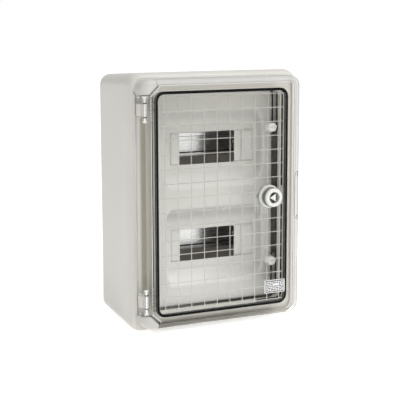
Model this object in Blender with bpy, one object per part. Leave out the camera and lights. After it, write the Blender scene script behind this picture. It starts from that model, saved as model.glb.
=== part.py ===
"""Wall enclosure with a clear hinged door and two rows of DIN rail, used as a dc combiner box.

Metres, +Z up. The origin is the centre of the wall face, X runs to the right and the
door faces -Y. At rest the door and the inner cover are closed and their latches are open.
"""

import math

import bmesh
import bpy
from mathutils import Vector

# Clearances, how far joined pieces overlap and cutters run out, and shared resolution
GAP = 0.0003
OVERLAP = 0.001
RUN_OUT = 0.002
CORNER_STEPS = 7
BORE_STEPS = 16
PIN_STEPS = 20
ROUND_STEPS = 28
FINE_STEPS = 40

# Base casting: half sizes at the wall, at the widest rim, and at the seam with the door
BACK_HALF = (0.1250, 0.1745)
RIM_HALF = (0.1310, 0.1810)
SEAM_HALF = (0.1267, 0.1752)
BACK_ROUND = 0.003
RIM_Y = -0.113
SEAM_Y = -0.1302
BASE_CORNER = 0.016
FLOOR_Y = -0.0035
BASE_WALL = 0.0032
GUTTER_Y = -0.1265
FLANGE_BACK_Y = -0.1229
FLANGE_INSET = 0.0042

# Sealing lip and the gasket that presses on it
SEAL_SHIFT = 0.0
SEAL_HALF = (0.1014, 0.1550)
SEAL_CORNER = 0.011
LIP_HALF_THICKNESS = 0.0009
LIP_TOP_Y = -0.1469
GASKET_HALF_WIDTH = 0.0019
GASKET_FRONT_Y = -0.1521
RIB_THICKNESS = 0.0015
RIB_END_Y = -0.1485

# Door
DOOR_HALF = (0.1250, 0.1735)
DOOR_CORNER = 0.015
PANEL_HALF = (0.1120, 0.1663)
PANEL_CORNER = 0.009
DOOR_FRONT_Y = -0.1550
DOOR_SIDE_Y = -0.1460
DOOR_SKIN = 0.0025
DOOR_END_Y = SEAM_Y - GAP
HOLLOW_INSET = 0.0015
HOLLOW_CORNER = 0.0075
HOLLOW_END_Y = -0.120
GRIP_HALF_HEIGHT = 0.034
GRIP_RADIUS = 0.0045
GRIP_AXIS = (0.1185, -0.1568)

# Corners where the door is cut back around the ears of the base. Along the slanting edge
# the door needs a wider gap, because its skin swings towards the ear as it opens.
EAR_SIDE_Z = 0.1533
EAR_BEND_X = -0.1146
EAR_TIP = (-0.1018, 0.1655)
EAR_TOP_X = -0.1050
EAR_SIDE_GAP = 0.0005
EAR_SLANT_GAP = 0.0018
EAR_FRONT_Y = -0.1545
EAR_BACK_Y = -0.110
DOOR_CORNER_CUT_Y = -0.165
BEYOND_X = -0.150
BEYOND_Z = 0.190

# Door hinge. On this side the door's skirt is shorter, to pass the sealing lip, and the
# wall of the base is higher by as much.
DOOR_AXIS = (-0.1182, -0.1500)
HINGE_Z = 0.1327
HINGE_SIDE_END_Y = -0.1345
HINGE_WALL_X = -0.1253
HINGE_LEAF_X = -0.1246
HINGE_BLOCK_X = -0.1149
LEAF_FRONT_Y = -0.1464
LEAF_BACK_Y = -0.1255
NECK_X = (DOOR_AXIS[0] - 0.0025, DOOR_AXIS[0] + 0.0023)
NECK_FRONT_Y = DOOR_AXIS[1] + 0.0004
CHANNEL_X = (HINGE_WALL_X, -0.110)
CHANNEL_FRONT_Y = -0.140
CHANNEL_HALF_HEIGHT = 0.156
HINGE_SLOT_X = (-0.130, -0.1140)
HINGE_SLOT_Y = (-0.160, -0.120)
SHORT_SKIRT_X = (-0.130, -0.1215)
WEB_X = (DOOR_AXIS[0] - 0.0040, DOOR_AXIS[0] + 0.0022)
WEB_FRONT_Y = -0.1528
KNUCKLE_RADIUS = 0.0030
KNUCKLE_HALF = 0.0085
OUTER_KNUCKLE_END = 0.1515
INNER_KNUCKLE_END = 0.1150
PIN_RADIUS = 0.0016
PIN_BORE = 0.0019
PIN_SEAT_DEPTH = 0.0005
PIN_SEAT_HALF_WIDTH = 0.0045
PIN_SEAT_REACH = 0.006
KNUCKLE_RUN_OUT = 0.0015
DOOR_BORE_Z = (INNER_KNUCKLE_END - 0.003, OUTER_KNUCKLE_END - 0.0015)
PIN_Z = (INNER_KNUCKLE_END + GAP, OUTER_KNUCKLE_END - 0.0020)

# Quarter-turn door lock
LOCK_XZ = (0.0705, 0.0030)
LOCK_FRONT_Y = -0.1730
LOCK_BARREL = 0.0131
LOCK_COLLAR = 0.0164
LOCK_THREAD = 0.0110
LOCK_BORE = 0.0048
LOCK_RECESS = 0.00825
LOCK_END_Y = -0.1405
LOCK_HOLE_Y = (-0.170, -0.140)
LOCK_RECESS_DEPTH = 0.0100
LOCK_COLLAR_THICKNESS = 0.0024
LOCK_COLLAR_CHAMFER = 0.0006
LOCK_BARREL_CHAMFER = 0.0012
LOCK_SEAL_RADIUS = 0.0158
LOCK_SEAL_THICKNESS = 0.0010
LOCK_NUT_RADIUS = 0.0156
LOCK_NUT_HEIGHT = 0.0055
CORE_DISC_THICKNESS = 0.0020
CORE_TRIANGLE_RADIUS = 0.0062
CORE_TRIANGLE_SINK = 0.0020
CAM_FRONT_Y = -0.1396
CAM_THICKNESS = 0.0024
CAM_REACH = 0.0292
CAM_HALF_WIDTH = 0.0040
CAM_SHOULDER = 0.0070
CAM_TOP = (0.0050, 0.0060)
CAM_SCREW_BORE = 0.0019
CAM_SCREW_BORE_DEPTH = 0.010
CAM_SCREW_RADIUS = 0.0016
CAM_SCREW_DEPTH = 0.008
CAM_SCREW_HEAD = (0.0060, 0.0055, 0.0027)
CATCH_X = (0.0973, 0.1020)
CATCH_Y = (-0.1465, -0.1400)
CATCH_HALF_HEIGHT = 0.012

# Inner cover
COVER_HALF = (0.0980, 0.1515)
COVER_CORNER = 0.006
COVER_FRONT_Y = -0.1160
COVER_BACK_Y = -0.1060
COVER_SKIN = 0.0020
ROW_Z = 0.0700
TROUGH_X = (-0.0740, 0.0825)
TROUGH_FLOOR_X = (-0.0700, 0.0790)
TROUGH_HALF = 0.0550
TROUGH_FLOOR_HALF = 0.0330
TROUGH_FLOOR_Y = -0.1000
WINDOW_HALF = (0.0443, 0.0230)
WINDOW_CUT_Y = (-0.105, -0.095)
COVER_AXIS = (-0.0945, -0.1110)
COVER_HINGE_Z = 0.1120
BRACKET_HALF = 0.0055
NOTCH_HALF = 0.0065
COVER_EAR_LENGTH = 0.0075
COVER_EYE_X = (COVER_AXIS[0] - 0.0021, COVER_AXIS[0] + 0.0032)
COVER_EYE_Y = (COVER_FRONT_Y + 0.0010, COVER_AXIS[1] + 0.0032)
COVER_PIN_RADIUS = 0.0013
COVER_PIN_BORE = 0.0016
COVER_PIN_INSET = 0.0005
HINGE_NOTCH_X = (-0.100, -0.0905)
HINGE_NOTCH_Y = (-0.118, -0.100)
BRACKET_ARM_HALF = 0.0022
BRACKET_EYE_RADIUS = 0.0027

# Quarter-turn fasteners of the inner cover
FASTENER_X = 0.0915
FASTENER_Z = 0.0985
HEAD_RADIUS = 0.0068
HEAD_FRONT_Y = -0.1300
COLLAR_RADIUS = 0.0082
COLLAR_Y = -0.1190
COLLAR_BACK_Y = -0.1145
HEAD_TURN = 12
SLOT_HALF = (0.0050, 0.0007)
SLOT_FRONT_Y = -0.135
SLOT_DEPTH = 0.0015
SHANK_RADIUS = 0.0030
SHANK_OVERLAP = 0.003
SHANK_HOLE_Y = (-0.125, -0.110)
PAWL_Y = (-0.1098, -0.1068)
PAWL_REACH = 0.0125
PAWL_HALF_WIDTH = 0.0035
PAWL_EYE_RADIUS = 0.0048
PAWL_NOTCH_X = (0.0955, 0.1010)
PAWL_NOTCH_Y = (PAWL_Y[0] - 0.0015, -0.1050)
PAWL_NOTCH_Z = (FASTENER_Z - 0.0142, FASTENER_Z + 0.0045)
TAB_X = (0.1000, 0.1273)
TAB_Y = (-0.1134, -0.1102)
POST_Y = (-0.1134, -0.0600)
POST_Z = (0.1035, 0.1500)
TAB_Z = (FASTENER_Z - 0.0075, POST_Z[0] + OVERLAP)

# DIN rails, TH35-7.5
RAIL_Z = 0.0700
RAIL_HALF_LENGTH = 0.0880
RAIL_HALF_WIDTH = 0.0175
RAIL_WEB_HALF = 0.0135
RAIL_DEPTH = 0.0075
RAIL_SHEET = 0.0010
RAIL_FRONT_Y = -0.0465
RAIL_SLOT = (0.0075, 0.0031)
RAIL_SLOT_X = 0.0750
RAIL_SLOT_RUN_OUT = 0.01
POST_X = 0.0750
RAIL_POST_HALF = 0.0070

# Screws that hold the rails to their posts: (radius at the seat, at the edge, at the face)
POST_BORE = 0.0019
POST_BORE_DEPTH = 0.014
POST_BORE_RUN_OUT = 0.003
RAIL_SCREW_RADIUS = 0.0016
RAIL_SCREW_DEPTH = 0.0120
RAIL_SCREW_HEAD = (0.0045, 0.0042, 0.0030)
RAIL_SCREW_EDGE = 0.0022
RAIL_SCREW_HEIGHT = 0.0030

# Wall fixing holes in the back, and their plugs
FIXING_XZ = (0.1000, 0.1500)
FIXING_RADIUS = 0.0035
FIXING_HOLE_Y = (-0.010, 0.010)
PLUG_BACK_Y = -0.0006
PLUG_HEAD = (0.0065, 0.0060, 0.0022)

LABEL_XZ = (0.0816, -0.1300)
LABEL_HALF = (0.0168, 0.0096)
LABEL_CORNER = 0.0018
LABEL_THICKNESS = 0.0004

GREY_ABS = (0.60, 0.60, 0.57, 1.0)
COVER_GREY = (0.64, 0.65, 0.62, 1.0)
CLEAR_PC = (0.86, 0.87, 0.86, 1.0)
BLACK_RUBBER = (0.010, 0.010, 0.012, 1.0)
WHITE_PLASTIC = (0.80, 0.81, 0.80, 1.0)
STEEL = (0.55, 0.56, 0.57, 1.0)
OLIVE_GREY = (0.16, 0.17, 0.14, 1.0)


def clear_scene():
    for old in list(bpy.data.objects):
        bpy.data.objects.remove(old, do_unlink=True)


def material(name, colour, roughness, metallic=0.0, alpha=1.0):
    made = bpy.data.materials.get(name)
    if made is None:
        made = bpy.data.materials.new(name)
        made.use_nodes = True
        shader = made.node_tree.nodes["Principled BSDF"]
        shader.inputs["Base Color"].default_value = colour
        shader.inputs["Roughness"].default_value = roughness
        shader.inputs["Metallic"].default_value = metallic
        shader.inputs["Alpha"].default_value = alpha
        made.diffuse_color = (*colour[:3], alpha)
    return made


def to_object(name, mesh_data, surface, origin):
    """Turns a bmesh in world coordinates into an object whose origin is at origin."""
    bmesh.ops.recalc_face_normals(mesh_data, faces=mesh_data.faces)
    bmesh.ops.translate(mesh_data, vec=-Vector(origin), verts=mesh_data.verts)
    mesh = bpy.data.meshes.new(name)
    mesh_data.to_mesh(mesh)
    mesh_data.free()
    mesh.materials.append(surface)
    mesh.shade_smooth()
    mesh.set_sharp_from_angle(angle=math.radians(32))
    made = bpy.data.objects.new(name, mesh)
    made.location = origin
    bpy.context.scene.collection.objects.link(made)
    return made


def bridge(shape, first, second):
    """Joins two rings of vertices, either of which can be a single vertex, with faces."""
    count = max(len(first), len(second))
    for i in range(count):
        j = (i + 1) % count
        if len(first) == 1:
            shape.faces.new((first[0], second[j], second[i]))
        elif len(second) == 1:
            shape.faces.new((first[i], first[j], second[0]))
        else:
            shape.faces.new((first[i], first[j], second[j], second[i]))


def outline(half, radius, centre=(0.0, 0.0)):
    """Points (x, z) of a rectangle with rounded corners."""
    points = []
    for quarter, (sx, sz) in enumerate(((1, 1), (-1, 1), (-1, -1), (1, -1))):
        corner_x = centre[0] + sx * (half[0] - radius)
        corner_z = centre[1] + sz * (half[1] - radius)
        for step in range(CORNER_STEPS + 1):
            angle = math.pi / 2 * (quarter + step / CORNER_STEPS)
            points.append((corner_x + radius * math.cos(angle), corner_z + radius * math.sin(angle)))
    return points


def loft(name, sections, surface, origin=(0, 0, 0), ring=False):
    """A closed body through sections (half sizes, corner radius, y, x shift), capped or a ring."""
    shape = bmesh.new()
    rings = []
    for half, radius, y, shift in sections:
        points = outline(half, radius, (shift, 0.0))
        rings.append([shape.verts.new((x, y, z)) for x, z in points])
    for first, second in zip(rings, rings[1:]):
        bridge(shape, first, second)
    if ring:
        bridge(shape, rings[-1], rings[0])
    else:
        shape.faces.new(rings[0])
        shape.faces.new(rings[-1])
    return to_object(name, shape, surface, origin)


def turned(name, profile, centre, axis, surface, steps=ROUND_STEPS, origin=None):
    """A profile of (radius, distance along the axis) turned about an axis through centre."""
    shape = bmesh.new()
    rings = []
    for radius, along in profile:
        count = steps if radius > 0 else 1
        ring = []
        for step in range(count):
            angle = 2 * math.pi * step / steps
            a = radius * math.cos(angle)
            b = radius * math.sin(angle)
            place = {
                "X": (along, centre[0] + a, centre[1] + b),
                "Y": (centre[0] + a, along, centre[1] + b),
                "Z": (centre[0] + a, centre[1] + b, along),
            }[axis]
            ring.append(shape.verts.new(place))
        rings.append(ring)
    for first, second in zip(rings, rings[1:]):
        bridge(shape, first, second)
    if profile[0][0] > 0:
        bridge(shape, rings[-1], rings[0])
    return to_object(name, shape, surface, origin or (0, 0, 0))


def rod(radius, start, end):
    """The profile of a plain solid rod."""
    return [(0, start), (radius, start), (radius, end), (0, end)]


def tube(outer, inner, start, end):
    """The profile of a plain tube."""
    return [(inner, start), (outer, start), (outer, end), (inner, end)]


def extruded(name, points, axis, start, end, surface, origin=(0, 0, 0)):
    """A flat polygon pushed along an axis. Points are (x, z) for Y, (y, z) for X, (x, y) for Z."""
    shape = bmesh.new()

    def place(point, along):
        if axis == "X":
            return (along, point[0], point[1])
        if axis == "Y":
            return (point[0], along, point[1])
        return (point[0], point[1], along)

    near = [shape.verts.new(place(point, start)) for point in points]
    far = [shape.verts.new(place(point, end)) for point in points]
    bridge(shape, near, far)
    shape.faces.new(near)
    shape.faces.new(far)
    return to_object(name, shape, surface, origin)


def block(name, x, y, z, surface, origin=(0, 0, 0)):
    corners = [(x[0], z[0]), (x[1], z[0]), (x[1], z[1]), (x[0], z[1])]
    return extruded(name, corners, "Y", y[0], y[1], surface, origin)


def combine(target, other, operation):
    """Adds a Boolean to target and turns the other object into a hidden helper."""
    step = target.modifiers.new(f"{operation.lower()}_{other.name}", "BOOLEAN")
    step.operation = operation
    step.object = other
    step.solver = "EXACT"
    other.hide_render = True
    other.display_type = "WIRE"


def cut(target, other):
    combine(target, other, "DIFFERENCE")


def join(target, other):
    combine(target, other, "UNION")


def keep_common(target, other):
    combine(target, other, "INTERSECT")


def bake(target):
    """Applies the modifiers of a shape that later Booleans use several times."""
    graph = bpy.context.evaluated_depsgraph_get()
    mesh = bpy.data.meshes.new_from_object(target.evaluated_get(graph))
    target.modifiers.clear()
    target.data = mesh


def on_sides(low, high, side):
    """A range (low, high) along Z on the upper side, or its mirror image on the lower side."""
    return (low, high) if side > 0 else (-high, -low)


# ---------------------------------------------------------------- base


def base_sections():
    sections = []
    for turn in (0, 45, 90):
        angle = math.radians(turn)
        inset = BACK_ROUND * (1 - math.sin(angle))
        half = (BACK_HALF[0] - inset, BACK_HALF[1] - inset)
        sections.append((half, BASE_CORNER - inset, -BACK_ROUND * (1 - math.cos(angle)), 0))
    for turn in (0, 22.5, 45, 67.5, 90):
        angle = math.radians(turn)
        half = [seam + (rim - seam) * math.cos(angle) for seam, rim in zip(SEAM_HALF, RIM_HALF)]
        y = RIM_Y + (SEAM_Y - RIM_Y) * math.sin(angle)
        sections.append((half, BASE_CORNER, y, 0))
    gutter_half = [size - BASE_WALL for size in SEAM_HALF]
    lip_outer = [size + LIP_HALF_THICKNESS for size in SEAL_HALF]
    lip_inner = [size - LIP_HALF_THICKNESS for size in SEAL_HALF]
    under_half = (RIM_HALF[0] - FLANGE_INSET, RIM_HALF[1] - FLANGE_INSET)
    floor_half = [size - BASE_WALL for size in BACK_HALF]
    wall_corner = BASE_CORNER - BASE_WALL
    sections += [
        (gutter_half, wall_corner, SEAM_Y, 0),
        (gutter_half, wall_corner, GUTTER_Y, 0),
        (lip_outer, SEAL_CORNER + LIP_HALF_THICKNESS, GUTTER_Y, SEAL_SHIFT),
        (lip_outer, SEAL_CORNER + LIP_HALF_THICKNESS, LIP_TOP_Y, SEAL_SHIFT),
        (lip_inner, SEAL_CORNER - LIP_HALF_THICKNESS, LIP_TOP_Y, SEAL_SHIFT),
        (lip_inner, SEAL_CORNER - LIP_HALF_THICKNESS, FLANGE_BACK_Y, SEAL_SHIFT),
        (under_half, wall_corner, FLANGE_BACK_Y, 0),
        (floor_half, wall_corner, FLOOR_Y, 0),
    ]
    return sections


def ear_corner(name, side, side_gap, slant_gap, front_y, surface):
    """The prism of the left corner beyond the door's slanting edge, grown by two gaps."""
    points = [
        (BEYOND_X, EAR_SIDE_Z - side_gap),
        (EAR_BEND_X + slant_gap, EAR_SIDE_Z - side_gap),
        (EAR_TIP[0] + slant_gap, EAR_TIP[1] - side_gap),
        (EAR_TOP_X + slant_gap, BEYOND_Z),
        (BEYOND_X, BEYOND_Z),
    ]
    points = [(x, side * z) for x, z in points]
    return extruded(name, points, "Y", front_y, EAR_BACK_Y, surface)


def door_outer_sections(end_y):
    sections = []
    for step in range(6):
        angle = math.radians(90 * step / 5)
        half = [p + (d - p) * math.sin(angle) for p, d in zip(PANEL_HALF, DOOR_HALF)]
        corner = PANEL_CORNER + (DOOR_CORNER - PANEL_CORNER) * math.sin(angle)
        y = DOOR_SIDE_Y + (DOOR_FRONT_Y - DOOR_SIDE_Y) * math.cos(angle)
        sections.append((half, corner, y, 0))
    sections.append((DOOR_HALF, DOOR_CORNER, end_y, 0))
    return sections


def make_base():
    grey = material("grey_abs", GREY_ABS, 0.42)
    base = loft("base_shell", base_sections(), grey)
    channel_y = (CHANNEL_FRONT_Y, GUTTER_Y)
    channel_z = (-CHANNEL_HALF_HEIGHT, CHANNEL_HALF_HEIGHT)
    cut(base, block("hinge_channel", CHANNEL_X, channel_y, channel_z, grey))
    wall_z = (-EAR_SIDE_Z - OVERLAP, EAR_SIDE_Z + OVERLAP)
    wall_y = (HINGE_SIDE_END_Y + GAP, GUTTER_Y + OVERLAP)
    join(base, block("hinge_wall", (-SEAM_HALF[0], HINGE_WALL_X), wall_y, wall_z, grey))
    for side, place in ((1, "upper"), (-1, "lower")):
        ear = loft(f"ear_{place}", door_outer_sections(HOLLOW_END_Y), grey)
        keep_common(ear, ear_corner(f"ear_corner_{place}", side, 0, 0, EAR_FRONT_Y, grey))
        bake(ear)
        join(base, ear)
        join_hinge_knuckle(base, side, place, grey)
        join_cover_supports(base, side, place, grey)
    catch_z = (LOCK_XZ[1] - CATCH_HALF_HEIGHT, LOCK_XZ[1] + CATCH_HALF_HEIGHT)
    join(base, block("lock_catch", CATCH_X, CATCH_Y, catch_z, grey))
    for sx in (-1, 1):
        for sz in (-1, 1):
            centre = (sx * FIXING_XZ[0], sz * FIXING_XZ[1])
            hole = rod(FIXING_RADIUS, *FIXING_HOLE_Y)
            cut(base, turned(f"fixing_hole_{sx}_{sz}", hole, centre, "Y", grey))
    return base


def join_hinge_knuckle(base, side, place, grey):
    """A block that carries on the door's side surface, with an open seat for the pin on its front."""
    z = on_sides(HINGE_Z - KNUCKLE_HALF, HINGE_Z + KNUCKLE_HALF, side)
    leaf_z = (z[0] + GAP, z[1] - GAP)
    neck_z = (z[0] + 2 * GAP, z[1] - 2 * GAP)
    leaf_x = (HINGE_LEAF_X, HINGE_BLOCK_X)
    leaf_y = (LEAF_FRONT_Y, LEAF_BACK_Y)
    neck_y = (NECK_FRONT_Y, LEAF_FRONT_Y + OVERLAP)
    join(base, block(f"hinge_leaf_{place}", leaf_x, leaf_y, leaf_z, grey))
    join(base, block(f"hinge_neck_{place}", NECK_X, neck_y, neck_z, grey))
    join(base, turned(f"knuckle_{place}", rod(KNUCKLE_RADIUS, *z), DOOR_AXIS, "Z", grey))
    seat_x = (DOOR_AXIS[0] - PIN_SEAT_HALF_WIDTH, DOOR_AXIS[0] + PIN_SEAT_HALF_WIDTH)
    seat_y = (DOOR_AXIS[1] - PIN_SEAT_REACH, DOOR_AXIS[1] - PIN_SEAT_DEPTH)
    cut(base, block(f"pin_seat_{place}", seat_x, seat_y, (z[0] - RUN_OUT, z[1] + RUN_OUT), grey))
    bore = rod(PIN_BORE, z[0] - KNUCKLE_RUN_OUT, z[1] + KNUCKLE_RUN_OUT)
    cut(base, turned(f"knuckle_bore_{place}", bore, DOOR_AXIS, "Z", grey, PIN_STEPS))


def join_cover_supports(base, side, place, grey):
    """The latch tab and its post on the right, and the hinge bracket of the inner cover on the left."""
    post_z = on_sides(*POST_Z, side)
    tab_x = (TAB_X[0] + GAP, TAB_X[1] - GAP)
    tab_y = (TAB_Y[0] + GAP, TAB_Y[1])
    join(base, block(f"cover_post_{place}", TAB_X, POST_Y, post_z, grey))
    join(base, block(f"cover_tab_{place}", tab_x, tab_y, on_sides(*TAB_Z, side), grey))
    z = on_sides(COVER_HINGE_Z - BRACKET_HALF, COVER_HINGE_Z + BRACKET_HALF, side)
    arm_x = (-TAB_X[1], COVER_AXIS[0])
    arm_y = (COVER_AXIS[1] - BRACKET_ARM_HALF, COVER_AXIS[1] + BRACKET_ARM_HALF)
    join(base, block(f"bracket_{place}", arm_x, arm_y, (z[0] + GAP, z[1] - GAP), grey))
    eye = rod(BRACKET_EYE_RADIUS, *z)
    join(base, turned(f"bracket_eye_{place}", eye, COVER_AXIS, "Z", grey, PIN_STEPS))
    bore = rod(COVER_PIN_BORE, z[0] - RUN_OUT, z[1] + RUN_OUT)
    cut(base, turned(f"bracket_bore_{place}", bore, COVER_AXIS, "Z", grey, PIN_STEPS))


def make_fixing_plugs():
    rubber = material("grey_plug", COVER_GREY, 0.55)
    seat_radius, face_radius, height = PLUG_HEAD
    seat = FLOOR_Y - GAP
    for sx, across in ((-1, "left"), (1, "right")):
        for sz, up in ((-1, "lower"), (1, "upper")):
            profile = [
                (0, PLUG_BACK_Y),
                (FIXING_RADIUS - GAP, PLUG_BACK_Y),
                (FIXING_RADIUS - GAP, seat),
                (seat_radius, seat),
                (face_radius, seat - height),
                (0, seat - height),
            ]
            centre = (sx * FIXING_XZ[0], sz * FIXING_XZ[1])
            turned(f"fixing_plug_{up}_{across}", profile, centre, "Y", rubber, PIN_STEPS)


# ---------------------------------------------------------------- DIN rails


def rail_section(z):
    """Top hat section of the rail as (y, z) points, open towards the door."""
    front = RAIL_FRONT_Y
    back = RAIL_FRONT_Y + RAIL_DEPTH
    half = [
        (front, RAIL_HALF_WIDTH),
        (front, RAIL_WEB_HALF - RAIL_SHEET),
        (back - RAIL_SHEET, RAIL_WEB_HALF - RAIL_SHEET),
    ]
    other = [
        (back, RAIL_WEB_HALF),
        (front + RAIL_SHEET, RAIL_WEB_HALF),
        (front + RAIL_SHEET, RAIL_HALF_WIDTH),
    ]
    points = half + [(y, -dz) for y, dz in reversed(half)]
    points += [(y, -dz) for y, dz in reversed(other)] + other
    return [(y, z + dz) for y, dz in points]


def slot_outline(centre, half_length, radius):
    """A round-ended slot along X as (x, z) points."""
    points = []
    for end, start in ((1, -90), (-1, 90)):
        for step in range(7):
            angle = math.radians(start + 30 * step)
            x = centre[0] + end * (half_length - radius) + radius * math.cos(angle)
            points.append((x, centre[1] + radius * math.sin(angle)))
    return points


def make_rail(place, z):
    steel = material("galvanised_steel", STEEL, 0.28, 0.9)
    rail = extruded(f"din_rail_{place}", rail_section(z), "X", -RAIL_HALF_LENGTH, RAIL_HALF_LENGTH, steel)
    for side, end in ((-1, "left"), (1, "right")):
        points = slot_outline((side * RAIL_SLOT_X, z), *RAIL_SLOT)
        slot_y = (RAIL_FRONT_Y - RAIL_SLOT_RUN_OUT, RAIL_FRONT_Y + RAIL_DEPTH + RAIL_SLOT_RUN_OUT)
        slot = extruded(f"rail_slot_{place}_{end}", points, "Y", *slot_y, steel)
        cut(rail, slot)
    for sx, across in ((-1, "left"), (1, "right")):
        make_rail_support(f"{place}_{across}", sx * POST_X, z)


def make_rail_support(where, x, z):
    plastic = material("post_grey", COVER_GREY, 0.5)
    steel = material("galvanised_steel", STEEL, 0.28, 0.9)
    rail_back = RAIL_FRONT_Y + RAIL_DEPTH
    post = block(
        f"rail_post_{where}",
        (x - RAIL_POST_HALF, x + RAIL_POST_HALF),
        (rail_back + GAP, FLOOR_Y - GAP),
        (z - RAIL_POST_HALF, z + RAIL_POST_HALF),
        plastic,
    )
    bore = rod(POST_BORE, rail_back - POST_BORE_RUN_OUT, rail_back + POST_BORE_DEPTH)
    cut(post, turned(f"post_bore_{where}", bore, (x, z), "Y", plastic, BORE_STEPS))
    seat = rail_back - RAIL_SHEET - GAP
    seat_radius, edge_radius, face_radius = RAIL_SCREW_HEAD
    profile = [
        (0, rail_back + RAIL_SCREW_DEPTH),
        (RAIL_SCREW_RADIUS, rail_back + RAIL_SCREW_DEPTH),
        (RAIL_SCREW_RADIUS, seat),
        (seat_radius, seat),
        (edge_radius, seat - RAIL_SCREW_EDGE),
        (face_radius, seat - RAIL_SCREW_HEIGHT),
        (0, seat - RAIL_SCREW_HEIGHT),
    ]
    turned(f"rail_screw_{where}", profile, (x, z), "Y", steel, PIN_STEPS)


# ---------------------------------------------------------------- door


def door_inner_sections():
    sections = []
    for step in range(6):
        angle = math.radians(90 * step / 5)
        half = []
        for p, d in zip(PANEL_HALF, DOOR_HALF):
            half.append((p - HOLLOW_INSET) + (d - DOOR_SKIN - p + HOLLOW_INSET) * math.sin(angle))
        corner = HOLLOW_CORNER + (DOOR_CORNER - DOOR_SKIN - HOLLOW_CORNER) * math.sin(angle)
        front = DOOR_FRONT_Y + DOOR_SKIN
        y = DOOR_SIDE_Y + (front - DOOR_SIDE_Y) * math.cos(angle)
        sections.append((half, corner, y, 0))
    half = [size - DOOR_SKIN for size in DOOR_HALF]
    sections.append((half, DOOR_CORNER - DOOR_SKIN, HOLLOW_END_Y, 0))
    return sections


def seal_ring(name, offset_out, offset_in, front_y, end_y, surface):
    """A ring that follows the seal line, between two offsets from it."""
    sections = []
    for offset, y in ((offset_out, front_y), (offset_out, end_y), (offset_in, end_y), (offset_in, front_y)):
        half = [size + offset for size in SEAL_HALF]
        sections.append((half, SEAL_CORNER + offset, y, SEAL_SHIFT))
    return loft(name, sections, surface, ring=True)


def make_door():
    clear = material("clear_polycarbonate", CLEAR_PC, 0.06, 0.0, 0.35)
    hinge_origin = (*DOOR_AXIS, 0)
    door = loft("door", door_outer_sections(DOOR_END_Y), clear, hinge_origin)
    cut(door, loft("door_hollow", door_inner_sections(), clear))
    for side, place in ((1, "upper"), (-1, "lower")):
        gaps = (EAR_SIDE_GAP, EAR_SLANT_GAP)
        cut(door, ear_corner(f"door_corner_{place}", side, *gaps, DOOR_CORNER_CUT_Y, clear))
    short_y = (HINGE_SIDE_END_Y, HOLLOW_END_Y)
    short_z = (-EAR_SIDE_Z - RUN_OUT, EAR_SIDE_Z + RUN_OUT)
    cut(door, block("short_skirt", SHORT_SKIRT_X, short_y, short_z, clear))
    skin_y = DOOR_FRONT_Y + DOOR_SKIN / 2
    clear_out = GASKET_HALF_WIDTH + GAP
    rib_out = clear_out + RIB_THICKNESS
    join(door, seal_ring("rib_outer", rib_out, clear_out, skin_y, RIB_END_Y, clear))
    join(door, seal_ring("rib_inner", -clear_out, -rib_out, skin_y, RIB_END_Y, clear))
    for side, place in ((1, "upper"), (-1, "lower")):
        join_door_knuckles(door, side, place, clear)
    cut(door, turned("lock_hole", rod(LOCK_THREAD + GAP, *LOCK_HOLE_Y), LOCK_XZ, "Y", clear))
    cut(door, grip_cutter(clear))
    gasket = seal_ring(
        "door_gasket",
        GASKET_HALF_WIDTH,
        -GASKET_HALF_WIDTH,
        GASKET_FRONT_Y,
        LIP_TOP_Y - GAP,
        material("black_gasket", BLACK_RUBBER, 0.5),
    )
    bpy.context.view_layer.update()
    gasket.parent = door
    gasket.matrix_parent_inverse = door.matrix_world.inverted()
    return door


def grip_cutter(surface):
    """A vertical round-ended cutter for the finger grip on the door's free edge."""
    profile = [(0, -GRIP_HALF_HEIGHT)]
    for end in (-1, 1):
        for step in range(5):
            angle = math.radians(end * 90 - end * 22.5 * step) if end < 0 else math.radians(22.5 * step)
            radius = GRIP_RADIUS * math.cos(angle)
            along = end * (GRIP_HALF_HEIGHT - GRIP_RADIUS) + GRIP_RADIUS * math.sin(angle)
            if radius > 1e-6:
                profile.append((radius, along))
    profile.append((0, GRIP_HALF_HEIGHT))
    return turned("grip_cutter", profile, GRIP_AXIS, "Z", surface)


def join_door_knuckles(door, side, place, clear):
    ends = (
        ("outer", HINGE_Z + KNUCKLE_HALF + GAP, OUTER_KNUCKLE_END),
        ("inner", INNER_KNUCKLE_END, HINGE_Z - KNUCKLE_HALF - GAP),
    )
    for kind, low, high in ends:
        z = on_sides(low, high, side)
        web_y = (WEB_FRONT_Y, DOOR_AXIS[1])
        eye = rod(KNUCKLE_RADIUS, *z)
        join(door, turned(f"door_eye_{place}_{kind}", eye, DOOR_AXIS, "Z", clear, PIN_STEPS))
        join(door, block(f"door_web_{place}_{kind}", WEB_X, web_y, (z[0] + GAP, z[1] - GAP), clear))
    slot_z = on_sides(HINGE_Z - KNUCKLE_HALF - GAP, HINGE_Z + KNUCKLE_HALF + GAP, side)
    cut(door, block(f"hinge_slot_{place}", HINGE_SLOT_X, HINGE_SLOT_Y, slot_z, clear))
    bore = rod(PIN_BORE, *on_sides(*DOOR_BORE_Z, side))
    cut(door, turned(f"door_bore_{place}", bore, DOOR_AXIS, "Z", clear, PIN_STEPS))


def make_hinge_pins():
    steel = material("pin_steel", STEEL, 0.2, 1.0)
    for side, place in ((1, "upper"), (-1, "lower")):
        pin = rod(PIN_RADIUS, *on_sides(*PIN_Z, side))
        turned(f"hinge_pin_{place}", pin, DOOR_AXIS, "Z", steel, PIN_STEPS, (*DOOR_AXIS, 0))


def make_label():
    white = material("label_white", WHITE_PLASTIC, 0.4)
    points = outline(LABEL_HALF, LABEL_CORNER, LABEL_XZ)
    back = DOOR_FRONT_Y - GAP
    extruded("data_label", points, "Y", back - LABEL_THICKNESS, back, white)


# ---------------------------------------------------------------- door lock


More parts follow.
